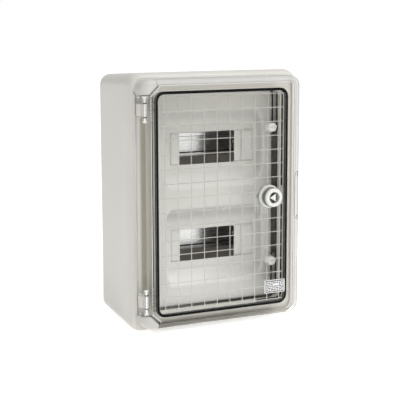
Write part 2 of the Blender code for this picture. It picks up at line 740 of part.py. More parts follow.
def hexagon(centre, radius, start_angle=0.0):
    points = []
    for step in range(6):
        angle = start_angle + math.pi / 3 * step
        points.append((centre[0] + radius * math.cos(angle), centre[1] + radius * math.sin(angle)))
    return points


def make_lock():
    white = material("lock_white", WHITE_PLASTIC, 0.35)
    olive = material("lock_nut_grey", OLIVE_GREY, 0.5)
    seal_y = (DOOR_FRONT_Y - GAP - LOCK_SEAL_THICKNESS, DOOR_FRONT_Y - GAP)
    collar_back = seal_y[0] - GAP
    collar_front = collar_back - LOCK_COLLAR_THICKNESS
    recess_y = LOCK_FRONT_Y + LOCK_RECESS_DEPTH
    profile = [
        (LOCK_BORE, LOCK_END_Y),
        (LOCK_THREAD, LOCK_END_Y),
        (LOCK_THREAD, collar_back),
        (LOCK_COLLAR, collar_back),
        (LOCK_COLLAR, collar_front + LOCK_COLLAR_CHAMFER),
        (LOCK_COLLAR - LOCK_COLLAR_CHAMFER, collar_front),
        (LOCK_BARREL, collar_front),
        (LOCK_BARREL, LOCK_FRONT_Y + LOCK_BARREL_CHAMFER),
        (LOCK_BARREL - LOCK_BARREL_CHAMFER, LOCK_FRONT_Y),
        (LOCK_RECESS, LOCK_FRONT_Y),
        (LOCK_RECESS, recess_y),
        (LOCK_BORE, recess_y),
    ]
    turned("lock_body", profile, LOCK_XZ, "Y", white, FINE_STEPS)
    rubber = material("black_gasket", BLACK_RUBBER, 0.5)
    seal = tube(LOCK_SEAL_RADIUS, LOCK_THREAD + GAP, *seal_y)
    turned("lock_seal", seal, LOCK_XZ, "Y", rubber, ROUND_STEPS)
    nut_front = DOOR_FRONT_Y + DOOR_SKIN + GAP
    nut_y = (nut_front, nut_front + LOCK_NUT_HEIGHT)
    nut = extruded("lock_nut", hexagon(LOCK_XZ, LOCK_NUT_RADIUS), "Y", *nut_y, olive)
    bore = rod(LOCK_THREAD + GAP, nut_y[0] - RUN_OUT, nut_y[1] + RUN_OUT)
    cut(nut, turned("nut_bore", bore, LOCK_XZ, "Y", olive))
    make_lock_core(recess_y, olive)


def make_lock_core(recess_y, olive):
    white = material("core_white", WHITE_PLASTIC, 0.35)
    steel = material("galvanised_steel", STEEL, 0.28, 0.9)
    origin = (LOCK_XZ[0], CAM_FRONT_Y, LOCK_XZ[1])
    cam_back = CAM_FRONT_Y + CAM_THICKNESS
    disc_back = recess_y - GAP
    profile = [
        (0, disc_back - CORE_DISC_THICKNESS),
        (LOCK_RECESS - GAP, disc_back - CORE_DISC_THICKNESS),
        (LOCK_RECESS - GAP, disc_back),
        (LOCK_BORE - GAP, disc_back),
        (LOCK_BORE - GAP, cam_back),
        (CAM_SCREW_BORE, cam_back),
        (CAM_SCREW_BORE, cam_back - CAM_SCREW_BORE_DEPTH),
        (0, cam_back - CAM_SCREW_BORE_DEPTH),
    ]
    core = turned("lock_core", profile, LOCK_XZ, "Y", white, ROUND_STEPS, origin)
    x, z = LOCK_XZ
    triangle = []
    for step in range(3):
        angle = math.pi + 2 * math.pi / 3 * step
        across = CORE_TRIANGLE_RADIUS * math.cos(angle)
        triangle.append((x + across, z + CORE_TRIANGLE_RADIUS * math.sin(angle)))
    triangle_y = (LOCK_FRONT_Y + CORE_TRIANGLE_SINK, disc_back - OVERLAP)
    join(core, extruded("core_triangle", triangle, "Y", *triangle_y, white))
    cam_points = [
        (x + CAM_HALF_WIDTH, z - CAM_REACH),
        (x + CAM_SHOULDER, z),
        (x + CAM_TOP[0], z + CAM_TOP[1]),
    ]
    cam_points += [(2 * x - px, pz) for px, pz in reversed(cam_points)]
    cam = extruded("lock_cam", cam_points, "Y", CAM_FRONT_Y, cam_back, steel, origin)
    bore = rod(LOCK_BORE, CAM_FRONT_Y - RUN_OUT, cam_back + RUN_OUT)
    cut(cam, turned("cam_bore", bore, LOCK_XZ, "Y", olive))
    seat_radius, face_radius, height = CAM_SCREW_HEAD
    screw = [
        (0, cam_back - CAM_SCREW_DEPTH),
        (CAM_SCREW_RADIUS, cam_back - CAM_SCREW_DEPTH),
        (CAM_SCREW_RADIUS, cam_back + GAP),
        (seat_radius, cam_back + GAP),
        (face_radius, cam_back + height),
        (0, cam_back + height),
    ]
    turned("lock_cam_screw", screw, LOCK_XZ, "Y", steel, PIN_STEPS, origin)


# ---------------------------------------------------------------- inner cover


def trough_sections(grow, front_y):
    """Corners of one trough's opening and floor, grown outwards by the cover's skin."""
    opening_x = (TROUGH_X[0] - grow, TROUGH_X[1] + grow)
    floor_x = (TROUGH_FLOOR_X[0] - grow, TROUGH_FLOOR_X[1] + grow)
    slope = (TROUGH_HALF - TROUGH_FLOOR_HALF) / (TROUGH_FLOOR_Y - COVER_FRONT_Y)
    opening_half = TROUGH_HALF + grow + slope * (COVER_FRONT_Y - front_y)
    return [
        (front_y, opening_x, opening_half),
        (TROUGH_FLOOR_Y + grow, floor_x, TROUGH_FLOOR_HALF + grow / 2),
    ]


def trough(name, z, grow, front_y, surface):
    shape = bmesh.new()
    rings = []
    for y, x, half in trough_sections(grow, front_y):
        corners = ((x[0], z - half), (x[1], z - half), (x[1], z + half), (x[0], z + half))
        rings.append([shape.verts.new((px, y, pz)) for px, pz in corners])
    bridge(shape, rings[0], rings[1])
    shape.faces.new(rings[0])
    shape.faces.new(rings[1])
    return to_object(name, shape, surface, (0, 0, 0))


def make_cover():
    grey = material("cover_grey", COVER_GREY, 0.5)
    inside = [size - COVER_SKIN for size in COVER_HALF]
    sections = [
        (COVER_HALF, COVER_CORNER, COVER_FRONT_Y, SEAL_SHIFT),
        (COVER_HALF, COVER_CORNER, COVER_BACK_Y, SEAL_SHIFT),
        (inside, COVER_CORNER - COVER_SKIN, COVER_BACK_Y, SEAL_SHIFT),
        (inside, COVER_CORNER - COVER_SKIN, COVER_FRONT_Y + COVER_SKIN, SEAL_SHIFT),
    ]
    cover = loft("inner_cover", sections, grey, (*COVER_AXIS, 0))
    for side, place in ((1, "upper"), (-1, "lower")):
        z = side * ROW_Z
        skin_y = COVER_FRONT_Y + COVER_SKIN / 2
        join(cover, trough(f"trough_skin_{place}", z, COVER_SKIN, skin_y, grey))
    for side, place in ((1, "upper"), (-1, "lower")):
        z = side * ROW_Z
        cut(cover, trough(f"trough_space_{place}", z, 0.0, COVER_FRONT_Y - OVERLAP, grey))
        window_x = (-WINDOW_HALF[0], WINDOW_HALF[0])
        window_z = (z - WINDOW_HALF[1], z + WINDOW_HALF[1])
        cut(cover, block(f"window_{place}", window_x, WINDOW_CUT_Y, window_z, grey))
    for side, place in ((1, "upper"), (-1, "lower")):
        join_cover_hinge(cover, side, place, grey)
        centre = (FASTENER_X, side * FASTENER_Z)
        collar = rod(COLLAR_RADIUS, COLLAR_Y, COLLAR_BACK_Y)
        join(cover, turned(f"cover_collar_{place}", collar, centre, "Y", grey))
        hole = rod(SHANK_RADIUS + GAP, *SHANK_HOLE_Y)
        cut(cover, turned(f"shank_hole_{place}", hole, centre, "Y", grey, PIN_STEPS))
        notch_z = on_sides(*PAWL_NOTCH_Z, side)
        cut(cover, block(f"pawl_notch_{place}", PAWL_NOTCH_X, PAWL_NOTCH_Y, notch_z, grey))
    return cover


def join_cover_hinge(cover, side, place, grey):
    """Opens the cover's edge around the bracket and adds an eye at both sides of it."""
    notch_z = on_sides(COVER_HINGE_Z - NOTCH_HALF, COVER_HINGE_Z + NOTCH_HALF, side)
    cut(cover, block(f"hinge_notch_{place}", HINGE_NOTCH_X, HINGE_NOTCH_Y, notch_z, grey))
    eyes = (
        ("near", COVER_HINGE_Z - NOTCH_HALF - COVER_EAR_LENGTH, COVER_HINGE_Z - NOTCH_HALF),
        ("far", COVER_HINGE_Z + NOTCH_HALF, COVER_HINGE_Z + NOTCH_HALF + COVER_EAR_LENGTH),
    )
    for kind, low, high in eyes:
        z = on_sides(low, high, side)
        join(cover, block(f"cover_eye_{place}_{kind}", COVER_EYE_X, COVER_EYE_Y, z, grey))
    reach = NOTCH_HALF + COVER_EAR_LENGTH + OVERLAP
    bore = rod(COVER_PIN_BORE, *on_sides(COVER_HINGE_Z - reach, COVER_HINGE_Z + reach, side))
    cut(cover, turned(f"cover_bore_{place}", bore, COVER_AXIS, "Z", grey, PIN_STEPS))


def make_cover_pins():
    steel = material("pin_steel", STEEL, 0.2, 1.0)
    reach = NOTCH_HALF + COVER_EAR_LENGTH - COVER_PIN_INSET
    for side, place in ((1, "upper"), (-1, "lower")):
        pin = rod(COVER_PIN_RADIUS, *on_sides(COVER_HINGE_Z - reach, COVER_HINGE_Z + reach, side))
        origin = (*COVER_AXIS, 0)
        turned(f"cover_hinge_pin_{place}", pin, COVER_AXIS, "Z", steel, PIN_STEPS, origin)


def make_fastener(side, place):
    white = material("fastener_white", WHITE_PLASTIC, 0.4)
    steel = material("galvanised_steel", STEEL, 0.28, 0.9)
    x = FASTENER_X
    z = side * FASTENER_Z
    origin = (x, HEAD_FRONT_Y, z)
    head_back = COLLAR_Y - GAP
    points = hexagon((x, z), HEAD_RADIUS, math.radians(HEAD_TURN))
    head = extruded(f"cover_fastener_{place}", points, "Y", HEAD_FRONT_Y, head_back, white, origin)
    shank = rod(SHANK_RADIUS, head_back - SHANK_OVERLAP, PAWL_Y[1])
    join(head, turned(f"shank_{place}", shank, (x, z), "Y", white, PIN_STEPS))
    slot_x = (x - SLOT_HALF[0], x + SLOT_HALF[0])
    slot_y = (SLOT_FRONT_Y, HEAD_FRONT_Y + SLOT_DEPTH)
    slot_z = (z - SLOT_HALF[1], z + SLOT_HALF[1])
    cut(head, block(f"driver_slot_{place}", slot_x, slot_y, slot_z, white))
    tip = z - side * PAWL_REACH
    low_x = x - PAWL_HALF_WIDTH
    high_x = x + PAWL_HALF_WIDTH
    arm = [(low_x, tip), (high_x, tip), (high_x, z), (low_x, z)]
    pawl = extruded(f"cover_pawl_{place}", arm, "Y", *PAWL_Y, steel, origin)
    eye = rod(PAWL_EYE_RADIUS, *PAWL_Y)
    join(pawl, turned(f"pawl_eye_{place}", eye, (x, z), "Y", steel, PIN_STEPS))
    bore = rod(SHANK_RADIUS + GAP, PAWL_Y[0] - RUN_OUT, PAWL_Y[1] + RUN_OUT)
    cut(pawl, turned(f"pawl_bore_{place}", bore, (x, z), "Y", steel, PIN_STEPS))


def main():
    clear_scene()
    make_base()
    make_fixing_plugs()
    make_rail("upper", RAIL_Z)
    make_rail("lower", -RAIL_Z)
    make_door()
    make_hinge_pins()
    make_label()
    make_lock()
    make_cover()
    make_cover_pins()
    make_fastener(1, "upper")
    make_fastener(-1, "lower")


main()
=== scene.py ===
import math

import bmesh
import bpy
from mathutils import Matrix, Vector


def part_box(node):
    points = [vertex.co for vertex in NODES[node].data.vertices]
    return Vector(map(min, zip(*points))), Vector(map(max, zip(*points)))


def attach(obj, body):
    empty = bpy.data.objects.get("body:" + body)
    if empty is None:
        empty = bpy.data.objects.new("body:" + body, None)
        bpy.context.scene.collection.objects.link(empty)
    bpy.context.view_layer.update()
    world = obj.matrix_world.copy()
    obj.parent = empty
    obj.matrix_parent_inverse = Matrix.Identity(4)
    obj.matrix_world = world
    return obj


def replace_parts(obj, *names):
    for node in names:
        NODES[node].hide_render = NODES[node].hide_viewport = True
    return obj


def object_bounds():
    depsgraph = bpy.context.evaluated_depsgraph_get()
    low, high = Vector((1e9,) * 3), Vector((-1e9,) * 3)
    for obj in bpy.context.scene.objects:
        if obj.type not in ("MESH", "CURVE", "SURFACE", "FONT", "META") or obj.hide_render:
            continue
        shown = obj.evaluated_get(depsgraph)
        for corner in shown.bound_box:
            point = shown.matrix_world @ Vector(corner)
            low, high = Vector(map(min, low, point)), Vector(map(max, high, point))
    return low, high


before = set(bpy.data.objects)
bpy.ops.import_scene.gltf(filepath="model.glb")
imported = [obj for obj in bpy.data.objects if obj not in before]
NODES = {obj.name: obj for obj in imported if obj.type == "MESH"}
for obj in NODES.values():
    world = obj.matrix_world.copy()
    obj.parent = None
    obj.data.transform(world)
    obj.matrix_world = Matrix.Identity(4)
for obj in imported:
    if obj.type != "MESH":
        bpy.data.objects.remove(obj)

CAD_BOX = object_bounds()

# Camera: the viewpoint in metres, its heading from +Y towards +X, its tilt and its focal length in mm
CAMERA_PLACE = (-0.7246, -1.5604, 0.2609)
CAMERA_YAW = 26.03
CAMERA_TILT = -9.28
CAMERA_ROLL = -0.14
CAMERA_LENS = 102.8
SENSOR = 36.0

# Studio
WORLD_STRENGTH = 0.70
WORLD_LEFT = 0.74
FLOOR_SIZE = 30.0
FLOOR_GAP = 0.0005
FLOOR_GLOW = 0.50
KEY_PLACE = (0.6, -1.15, 2.3)
KEY_SIZE = (1.6, 1.2)
KEY_POWER = 40.0

# Places taken from the CAD nodes
COVER_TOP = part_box("inner_cover")[1][2]
DOOR_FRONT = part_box("door")[0][1]
CORE_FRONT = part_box("lock_core")[0][1]
GASKET_LOW, GASKET_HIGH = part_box("door_gasket")
LOCK_LOW, LOCK_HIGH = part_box("lock_body")
LABEL_LOW, LABEL_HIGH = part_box("data_label")
HEAD_LOW, HEAD_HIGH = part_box("cover_fastener_upper")
LOCK_CENTRE = ((LOCK_LOW[0] + LOCK_HIGH[0]) / 2, (LOCK_LOW[2] + LOCK_HIGH[2]) / 2)
HEAD_CENTRE = ((HEAD_LOW[0] + HEAD_HIGH[0]) / 2, (HEAD_LOW[2] + HEAD_HIGH[2]) / 2)
GASKET_ROUND = 0.0012

# Textures: the usual range of a noise, the amounts that every moulded plastic shares, then those of
# steel, rubber and clear plastic. A bump is its depth in metres, its strength and its edge radius.
NOISE_SPAN = (0.3, 0.7)
DRIFT_SCALE = 9.0
SPECK_SPAN = (0.62, 0.72)
SPECK_AMOUNT = 0.12
SPECK_SHADE = 0.8
PALE_EDGE_AMOUNT = 0.35
PALE_EDGE_FACTOR = 1.25
EDGE_MASK_SPAN = (0.995, 0.8)
PLASTIC_BUMP = 0.6
PLASTIC_ROUGH = (-0.06, 0.08)
PLASTIC_SPECULAR = 0.4
BEVEL_SAMPLES = 6
STEEL_SCALE = (900.0, 12.0)
STEEL_FLAKES = 260.0
STEEL_ROUGH = (-0.05, 0.07)
STEEL_BUMP = (0.000006, 0.3, 0.0004)
RUBBER_BLACK = (0.0015, 0.0016, 0.002)
RUBBER_DUST = (0.014, 0.015, 0.016)
RUBBER_ROUGH = (0.5, 0.66)
RUBBER_BUMP = (0.0001, 0.5, 0.0007)
RUBBER_SPECULAR = 0.08
CLEAR_FLOW = (22.0, 22.0, 5.0)
CLEAR_BUMP = (0.0006, 0.2, 0.0006)
CLEAR_ROUGH = 0.04
# Painted olive shade deep in the lock core's recess, and the depths behind its front where it starts
# and is full
CORE_RECESS_SHADE = (0.15, 0.165, 0.125)
CORE_DEPTH = (0.0006, 0.0012)

# Base finish: its grey, painted shade inside the box, on its bottom edge, ears and hinge strip, and a
# painted glow inside; then where each one shows, as limits along an axis or from the middle
HOUSING_GREY = (0.605, 0.588, 0.548)
ROOM_SHADE = (0.026, 0.022, 0.019)
ROOM_FLOOR_SHADE = (0.300, 0.272, 0.245)
STRAY_LIGHT = (0.48, 0.44, 0.41)
STRAY_AMOUNT = 0.10
SILL_SHADE = (0.19, 0.175, 0.155)
SILL_AMOUNT = 0.85
EAR_SHADE = (0.53, 0.518, 0.485)
STRIP_SHADE = (0.37, 0.355, 0.28)
ROOM_CORNER = (0.109, 0.1585)
ROOM_ROUND = 0.0144
ROOM_FADE_Y = (-0.112, -0.092)
ROOM_BACK_Y = -0.0012
ROOM_FLOOR_Y = (-0.02, -0.004)
WELL_Y = (-0.1290, -0.1265)
WELL_X = (0.0985, 0.1009)
WELL_HALF_Z = 0.1546
SILL_BACK_Y = -0.1215
SILL_Z = (-0.1640, -0.1730)
SILL_LEFT_X = (-0.101, -0.096)
SILL_RIGHT_X = (0.02, 0.10)
SILL_RIGHT_SHARE = 0.25
EAR_BACK_Y = -0.1330
EAR_LOW_Z = 0.1530
EAR_RIGHT_X = -0.0990
STRIP_LEFT_X = (-0.1160, -0.1135)
STRIP_RIGHT_X = (-0.1085, -0.1065)
STRIP_END_Z = (0.1215, 0.1235)
STRIP_BACK_Y = -0.1255

# Inner cover finish: its grey, painted shade towards its top, on its right flank and on faces turned
# down, and painted light on the trough floors, at its foot and on faces turned up; then where each one
# shows
COVER_GREY = (0.60, 0.592, 0.568)
COVER_TOP_SHADE = (0.86, 0.855, 0.84)
COVER_FLANK_SHADE = (0.525, 0.518, 0.495)
COVER_FLOOR_LIGHT = (0.640, 0.632, 0.607)
COVER_FOOT_LIGHT = (0.80, 0.792, 0.770)
COVER_UPWARD_LIGHT = (0.70, 0.695, 0.675)
COVER_DOWNWARD_SHADE = (0.43, 0.425, 0.405)
COVER_RISE_Z = (-0.13, 0.15)
FLANK_Y = (-0.1150, -0.1130)
FLANK_X = (0.060, 0.068)
TROUGH_FLOOR_Y = (-0.1040, -0.1012)
FOOT_Z = (-0.1150, -0.1480)
SLOPE_SPAN = (0.1, 0.7)
UPWARD_AMOUNT = 0.5
DOWNWARD_AMOUNT = 0.6

# Door finish: its tint and gloss, painted light and shade on its edges, a painted highlight along its
# rim, and the painted glow of its ribs
CLEAR_TINT = (0.985, 0.985, 0.975, 1)
GLOSS_TINT = (0.97, 0.98, 0.98, 1)
EDGE_DARK = (0.16, 0.15, 0.12)
EDGE_LIGHT = (0.93, 0.94, 0.93)
EDGE_SPAN = (-0.25, 0.35)
EDGE_LEAN = 0.8
SHINE_BASE = 0.007
SHINE_GLANCING = 0.7
SHINE_MARGIN = (0.0015, 0.0025)
SHINE_INSIDE = 0.15
RIM_LIGHT = (0.74, 0.73, 0.725)
RIM_X = (0.1185, 0.1225)
RIM_X_AMOUNT = 0.50
RIM_Z = (0.1650, 0.1672)
RIM_Z_AMOUNT = 0.48
RIB_LOW_TONE = (0.61, 0.605, 0.58)
RIB_HIGH_TONE = (0.50, 0.49, 0.46)
RIB_DRIFT = 0.015

# Inner cover sheet: its flat, the troughs around the two windows, and the marked knock-outs
COVER_LEFT = -0.0970
COVER_RIGHT = 0.0975
COVER_HALF_Z = COVER_TOP + 0.0013
COVER_FRONT = -0.1160
COVER_BACK = -0.1062
COVER_RADIUS = 0.0105
COVER_EDGE_ROUND = 0.0014
COVER_SHEET = 0.0019
ROW_Z = 0.0700
ROW_SHIFT = 0.0010
TROUGH_LEFT = -0.0740
TROUGH_RIGHT = 0.0825
TROUGH_HALF = 0.0550
TROUGH_FLANK = 0.0220
TROUGH_END = 0.0050
TROUGH_BOW = 0.0120
TROUGH_DEPTH = 0.0158
WINDOW_X = (-0.0440, 0.0443)
WINDOW_HALF = 0.0230
KNOCK_OUTS = ((-0.0580, -0.0440), (0.0443, 0.0560), (0.0560, 0.0750))
GROOVE_HALF = 0.00035
GROOVE_DEPTH = 0.0011
GRID_STEP = 0.0028
GRID_CLOSEST = 0.35
GRID_EDGES = (0.0, 0.0004, 0.0009)
TINY = 1e-7
HINGE_Z = 0.1120
HINGE_NOTCH = 0.0070
HINGE_NOTCH_X = -0.0888
SHANK_CLEAR = 0.0042
HOLE_MARGIN = 0.002
EDGE_MARGIN = 0.0005
PAWL_NOTCH = (HEAD_HIGH[2] - 0.0240, HEAD_HIGH[2] + 0.0040)
PAWL_NOTCH_X = COVER_RIGHT - 0.001
PAWL_NOTCH_Y = -0.1114

# Fastener collars as (radius, y) points, and the eyes of the cover's hinge
COLLAR_PROFILE = (
    (0.0042, -0.1130),
    (0.0042, -0.1186),
    (0.0046, -0.1190),
    (0.0075, -0.1190),
    (0.0081, -0.1186),
    (0.0082, -0.1130),
)
COVER_AXIS = (-0.0945, -0.1110)
EYE_ENDS = (0.0068, 0.0128)
EYE_BORE = 0.0018
EYE_FACE = 0.0024
EYE_RADIUS = 0.0027
EYE_CHAMFER = 0.0004
EYE_STEPS = 32

# Rail corners, measured from a rail's middle line and from its back
RAIL_CORNER_Z = 0.0120
RAIL_CORNER_DEPTH = 0.0014
RAIL_SHADE_INSET = 0.001
RAIL_SHADE_RADIUS = 0.0007

# Ribs moulded on the inner face of the door, and the gate mark as (radius, height) points
RIB_PITCH = (0.0201, 0.0199)
RIB_FIRST = (-0.0905, -0.14925)
RIB_COUNT = (10, 16)
RIB_HALF_WIDTH = 0.00062
RIB_CREST_SHARE = 0.45
RIB_HEIGHT = 0.0006
RIB_LEVEL_SHARE = 0.85
RIB_ROOT = 0.0002
RIB_SEAL_INSET = 0.0075
RIB_LOCK_CLEARANCE = 0.0185
DOOR_SKIN = 0.0025
DOOR_INSIDE = DOOR_FRONT + DOOR_SKIN
GATE_PLACE = (0.0, -0.0085)
GATE_PROFILE = (
    (0.0016, -0.0002),
    (0.0016, 0.0007),
    (0.0021, 0.0010),
    (0.0038, 0.0010),
    (0.0043, 0.0007),
    (0.0043, -0.0002),
)

# Label: shares of its width or height, and half sizes in metres
LABEL_INK = 0.0001
LABEL_FRAME_X = (0.04, 0.96)
LABEL_FRAME_Z = (0.07, 0.93)
LABEL_FRAME_HALF = 0.0003
DASHES = (0.07, 0.11, 0.05, 0.14, 0.08)
DASH_ROWS = 7
DASH_FIRST_ROW = 0.11
DASH_ROW_PITCH = 0.13
DASH_SPAN = (0.08, 0.90)
DASH_RIGHT = 0.93
DASH_SPACE = 0.035
DASH_HALF = 0.0007
BLANK_ROW = 4
BLANK_SPAN = (0.4, 0.6)

# Lock flutes: (y, radius) of the band, and how far a crest and a root stand from it
FLUTE_LEVELS = ((-0.1690, 0.0126), (-0.1682, 0.0133), (-0.1606, 0.0133), (-0.1598, 0.0126))
FLUTE_TEETH = 36
FLUTE_CREST = 0.0006
FLUTE_ROOT = -0.0002
FLUTE_INSIDE = 0.93

# The door's outline: its flat front panel, the start of its side, and the corners cut out for the ears
PANEL_HALF = (0.1120, 0.1663)
PANEL_ROUND = 0.009
SIDE_HALF = (0.1250, 0.1735)
SIDE_ROUND = 0.015
SIDE_Y = -0.1460
SKIRT_Y = -0.1385
HINGE_AXIS = (-0.1182, -0.1500)
EAR_SLANT = ((-0.1000, 0.1650), (-0.1128, 0.1528))
EAR_END_X = -0.1240

# Cords of painted shade and glint in the door's thick edges: their radii and their places
LINE_RADII = {
    "panel": 0.00034,
    "panel_glint": 0.00042,
    "side": 0.0006,
    "skirt": 0.0006,
    "left": 0.0004,
    "left_glint": 0.00045,
    "slant": 0.0007,
    "slant_back": 0.0006,
    "slant_glint": 0.0005,
}
PANEL_LINE_Y = DOOR_FRONT + 0.0006
PANEL_GLINT_INSET = 0.0012
LEFT_GLINT_INSET = 0.0014
SIDE_START = 0.001
SIDE_INSET = 0.0006
SIDE_SHARE = 0.997
SLANT_INSET = 0.0006
SLANT_DROP = 0.0005
SLANT_END_Y = -0.1462
SLANT_MIDDLE_Y = PANEL_LINE_Y + 0.0012
SLANT_BACK_Y = -0.1400
SLANT_GLINT = (0.0022, 0.0016)
GRIP_HALF = 0.0335
GRIP_HOOK = 0.0045
GRIP_HOOK_SHARE = 0.7
GRIP_HOOK_BACK = 0.0015
GRIP_LINES = (("inner", 0.1150, -0.1535, 0.0006), ("outer", 0.1172, -0.1525, 0.0009))
GRIP_SHADE_XY = (0.1213, -0.1500)
GRIP_SHADE_PAST = 0.0015
GRIP_SHADE_RADIUS = 0.0011

# Cords of painted shade along the sealing lip
LEFT_CORD = (GASKET_LOW[0] - 0.0006, -0.1415)
LEFT_CORD_END = 0.117
LEFT_CORD_RADIUS = 0.00065
LEFT_DASHES = 6
LEFT_DASH_FIRST = 0.1190
LEFT_DASH_PITCH = 0.0054
LEFT_DASH_LENGTH = 0.0040
LEFT_DASH_RADIUS = 0.0007
RIGHT_CORD = (GASKET_HIGH[0] - 0.0031, -0.1410)
RIGHT_CORD_RADIUS = 0.00125
RIGHT_CORD_NEAR_LOCK = 0.0125
RIGHT_CORD_MIDDLE = 0.08
RIGHT_CORD_TOP = 0.148
RIGHT_CORD_BEND = 0.009
RIGHT_CORD_BEND_Z = -0.1425
RIGHT_CORD_FOOT = (0.060, -0.1515)
FOOT_CORD_X = (-0.078, 0.0, 0.036)
FOOT_CORD_YZ = (-0.1464, -0.1539)
FOOT_CORD_RADIUS = 0.00040

# Rings of painted shade and painted glint at the door's hinge eyes, and a painted glint at the end
# of the flange above each hinge
KNUCKLE_RINGS = (("shade", (0.1420, 0.1230)), ("glint", (0.1500, 0.1168)))
KNUCKLE_RING_RADII = (0.0021, 0.0029)
KNUCKLE_RING_HALF = 0.0008
KNUCKLE_RING_STEPS = 28
FLANGE_X = -0.1243
FLANGE_Z = 0.1500
FLANGE_Y = (-0.1350, -0.1400, -0.1450)
FLANGE_BEND = 0.0012
FLANGE_RADIUS = 0.0011


# ---------------------------------------------------------------- node helpers


class Graph:
    """A short way to add nodes to a material and link them."""

    def __init__(self, name):
        self.material = bpy.data.materials.new(name)
        self.material.use_nodes = True
        self.tree = self.material.node_tree
        self.shader = self.tree.nodes["Principled BSDF"]
        self.output = self.tree.nodes["Material Output"]
        self.place = self.add("TexCoord").outputs["Object"]

    def add(self, kind, **values):
        node = self.tree.nodes.new("ShaderNode" + kind)
        for key, value in values.items():
            socket = key.replace("_", " ")
            if socket in node.inputs:
                self.feed(node.inputs[socket], value)
            else:
                setattr(node, key, value)
        return node

    def feed(self, socket, value):
        if isinstance(value, bpy.types.NodeSocket):
            self.tree.links.new(value, socket)
        elif isinstance(value, tuple) and len(value) == 3 and socket.type == "RGBA":
            socket.default_value = (*value, 1)
        else:
            socket.default_value = value

    def set(self, **values):
        for key, value in values.items():
            self.feed(self.shader.inputs[key.replace("_", " ")], value)

    def base_colour(self):
        return self.shader.inputs["Base Color"].links[0].from_socket

    def axes(self, vector=None):
        """The x, y and z sockets of a vector, or of the place in the object."""
        outputs = self.add("SeparateXYZ", Vector=vector or self.place).outputs
        return outputs[0], outputs[1], outputs[2]

    def stretched(self, scale):
        node = self.add("Mapping")
        self.feed(node.inputs["Vector"], self.place)
        node.inputs["Scale"].default_value = scale
        return node.outputs[0]

    def noise(self, scale, detail=3.0, vector=None):
        node = self.add("TexNoise", Scale=scale, Detail=detail)
        self.feed(node.inputs["Vector"], vector or self.place)
        return node.outputs["Fac"]

    def math(self, operation, first, second=0.0, clamp=False):
        node = self.add("Math", operation=operation, use_clamp=clamp)
        self.feed(node.inputs[0], first)
        self.feed(node.inputs[1], second)
        return node.outputs[0]

    def product(self, first, *others):
        for other in others:
            first = self.math("MULTIPLY", first, other)
        return first

    def below(self, value, limit):
        return self.math("LESS_THAN", value, limit)

    def above(self, value, limit):
        return self.math("GREATER_THAN", value, limit)

    def beyond(self, value, limit):
        """How far a value's size is past a limit, which is negative short of it."""
        return self.math("SUBTRACT", self.math("ABSOLUTE", value), limit)

    def between(self, value, low, high, start=0.0, end=1.0):
        """Maps a value from low..high to start..end, clamped."""
        node = self.add("MapRange")
        for index, number in enumerate((value, low, high, start, end)):
            self.feed(node.inputs[index], number)
        return node.outputs[0]

    def spread(self, noise, start=0.0, end=1.0):
        """Maps the usual range of a noise to start..end."""
        return self.between(noise, *NOISE_SPAN, start, end)

    def mix(self, amount, first, second, blend_type="MIX"):
        node = self.add("Mix", data_type="RGBA", blend_type=blend_type)
        self.feed(node.inputs[0], amount)
        self.feed(node.inputs[6], first)
        self.feed(node.inputs[7], second)
        return node.outputs[2]

    def bump(self, height, distance, strength, radius):
        node = self.add("Bump", Strength=strength, Distance=distance)
        self.feed(node.inputs["Height"], height)
        if radius:
            edge = self.add("Bevel", Radius=radius, samples=BEVEL_SAMPLES)
            self.feed(node.inputs["Normal"], edge.outputs[0])
        return node.outputs[0]

    def blend(self, amount, first, second):
        node = self.add("MixShader")
        for socket, value in zip(node.inputs, (amount, first, second)):
            self.feed(socket, value)
        return node.outputs[0]

    def camera_ray(self):
        return self.add("LightPath").outputs["Is Camera Ray"]

    def edge_mask(self, radius):
        """1 on an edge, 0 on a flat."""
        edge = self.add("Bevel", Radius=radius, samples=BEVEL_SAMPLES)
        geometry = self.add("NewGeometry")
        dot = self.add("VectorMath", operation="DOT_PRODUCT")
        self.feed(dot.inputs[0], edge.outputs[0])
        self.feed(dot.inputs[1], geometry.outputs["Normal"])
        return self.between(dot.outputs["Value"], *EDGE_MASK_SPAN)


def tint(colour, factor):
    return tuple(min(1.0, channel * factor) for channel in colour)


def moulded(name, colour, rough, grain, grain_depth, radius, spread):
    """Moulded plastic: a fine spark-eroded grain, slow colour drift and paler edges."""
    g = Graph(name)
    drift = g.spread(g.noise(DRIFT_SCALE, 4.0))
    fine = g.noise(grain, 2.0)
    body = g.mix(drift, tint(colour, 1 - spread), tint(colour, 1 + spread))
    specks = g.between(g.noise(grain * 0.6, 1.0), *SPECK_SPAN, 0.0, SPECK_AMOUNT)
    body = g.mix(specks, body, tint(colour, SPECK_SHADE))
    # Paler towards its rounded edges
    if radius:
        pale_edge = g.product(g.edge_mask(radius), PALE_EDGE_AMOUNT)
        body = g.mix(pale_edge, body, tint(colour, PALE_EDGE_FACTOR))
    low, high = (rough + change for change in PLASTIC_ROUGH)
    g.set(Base_Color=body, Roughness=g.spread(fine, low, high))
    g.set(Normal=g.bump(fine, grain_depth, PLASTIC_BUMP, radius))
    g.set(Specular_IOR_Level=PLASTIC_SPECULAR)
    return g


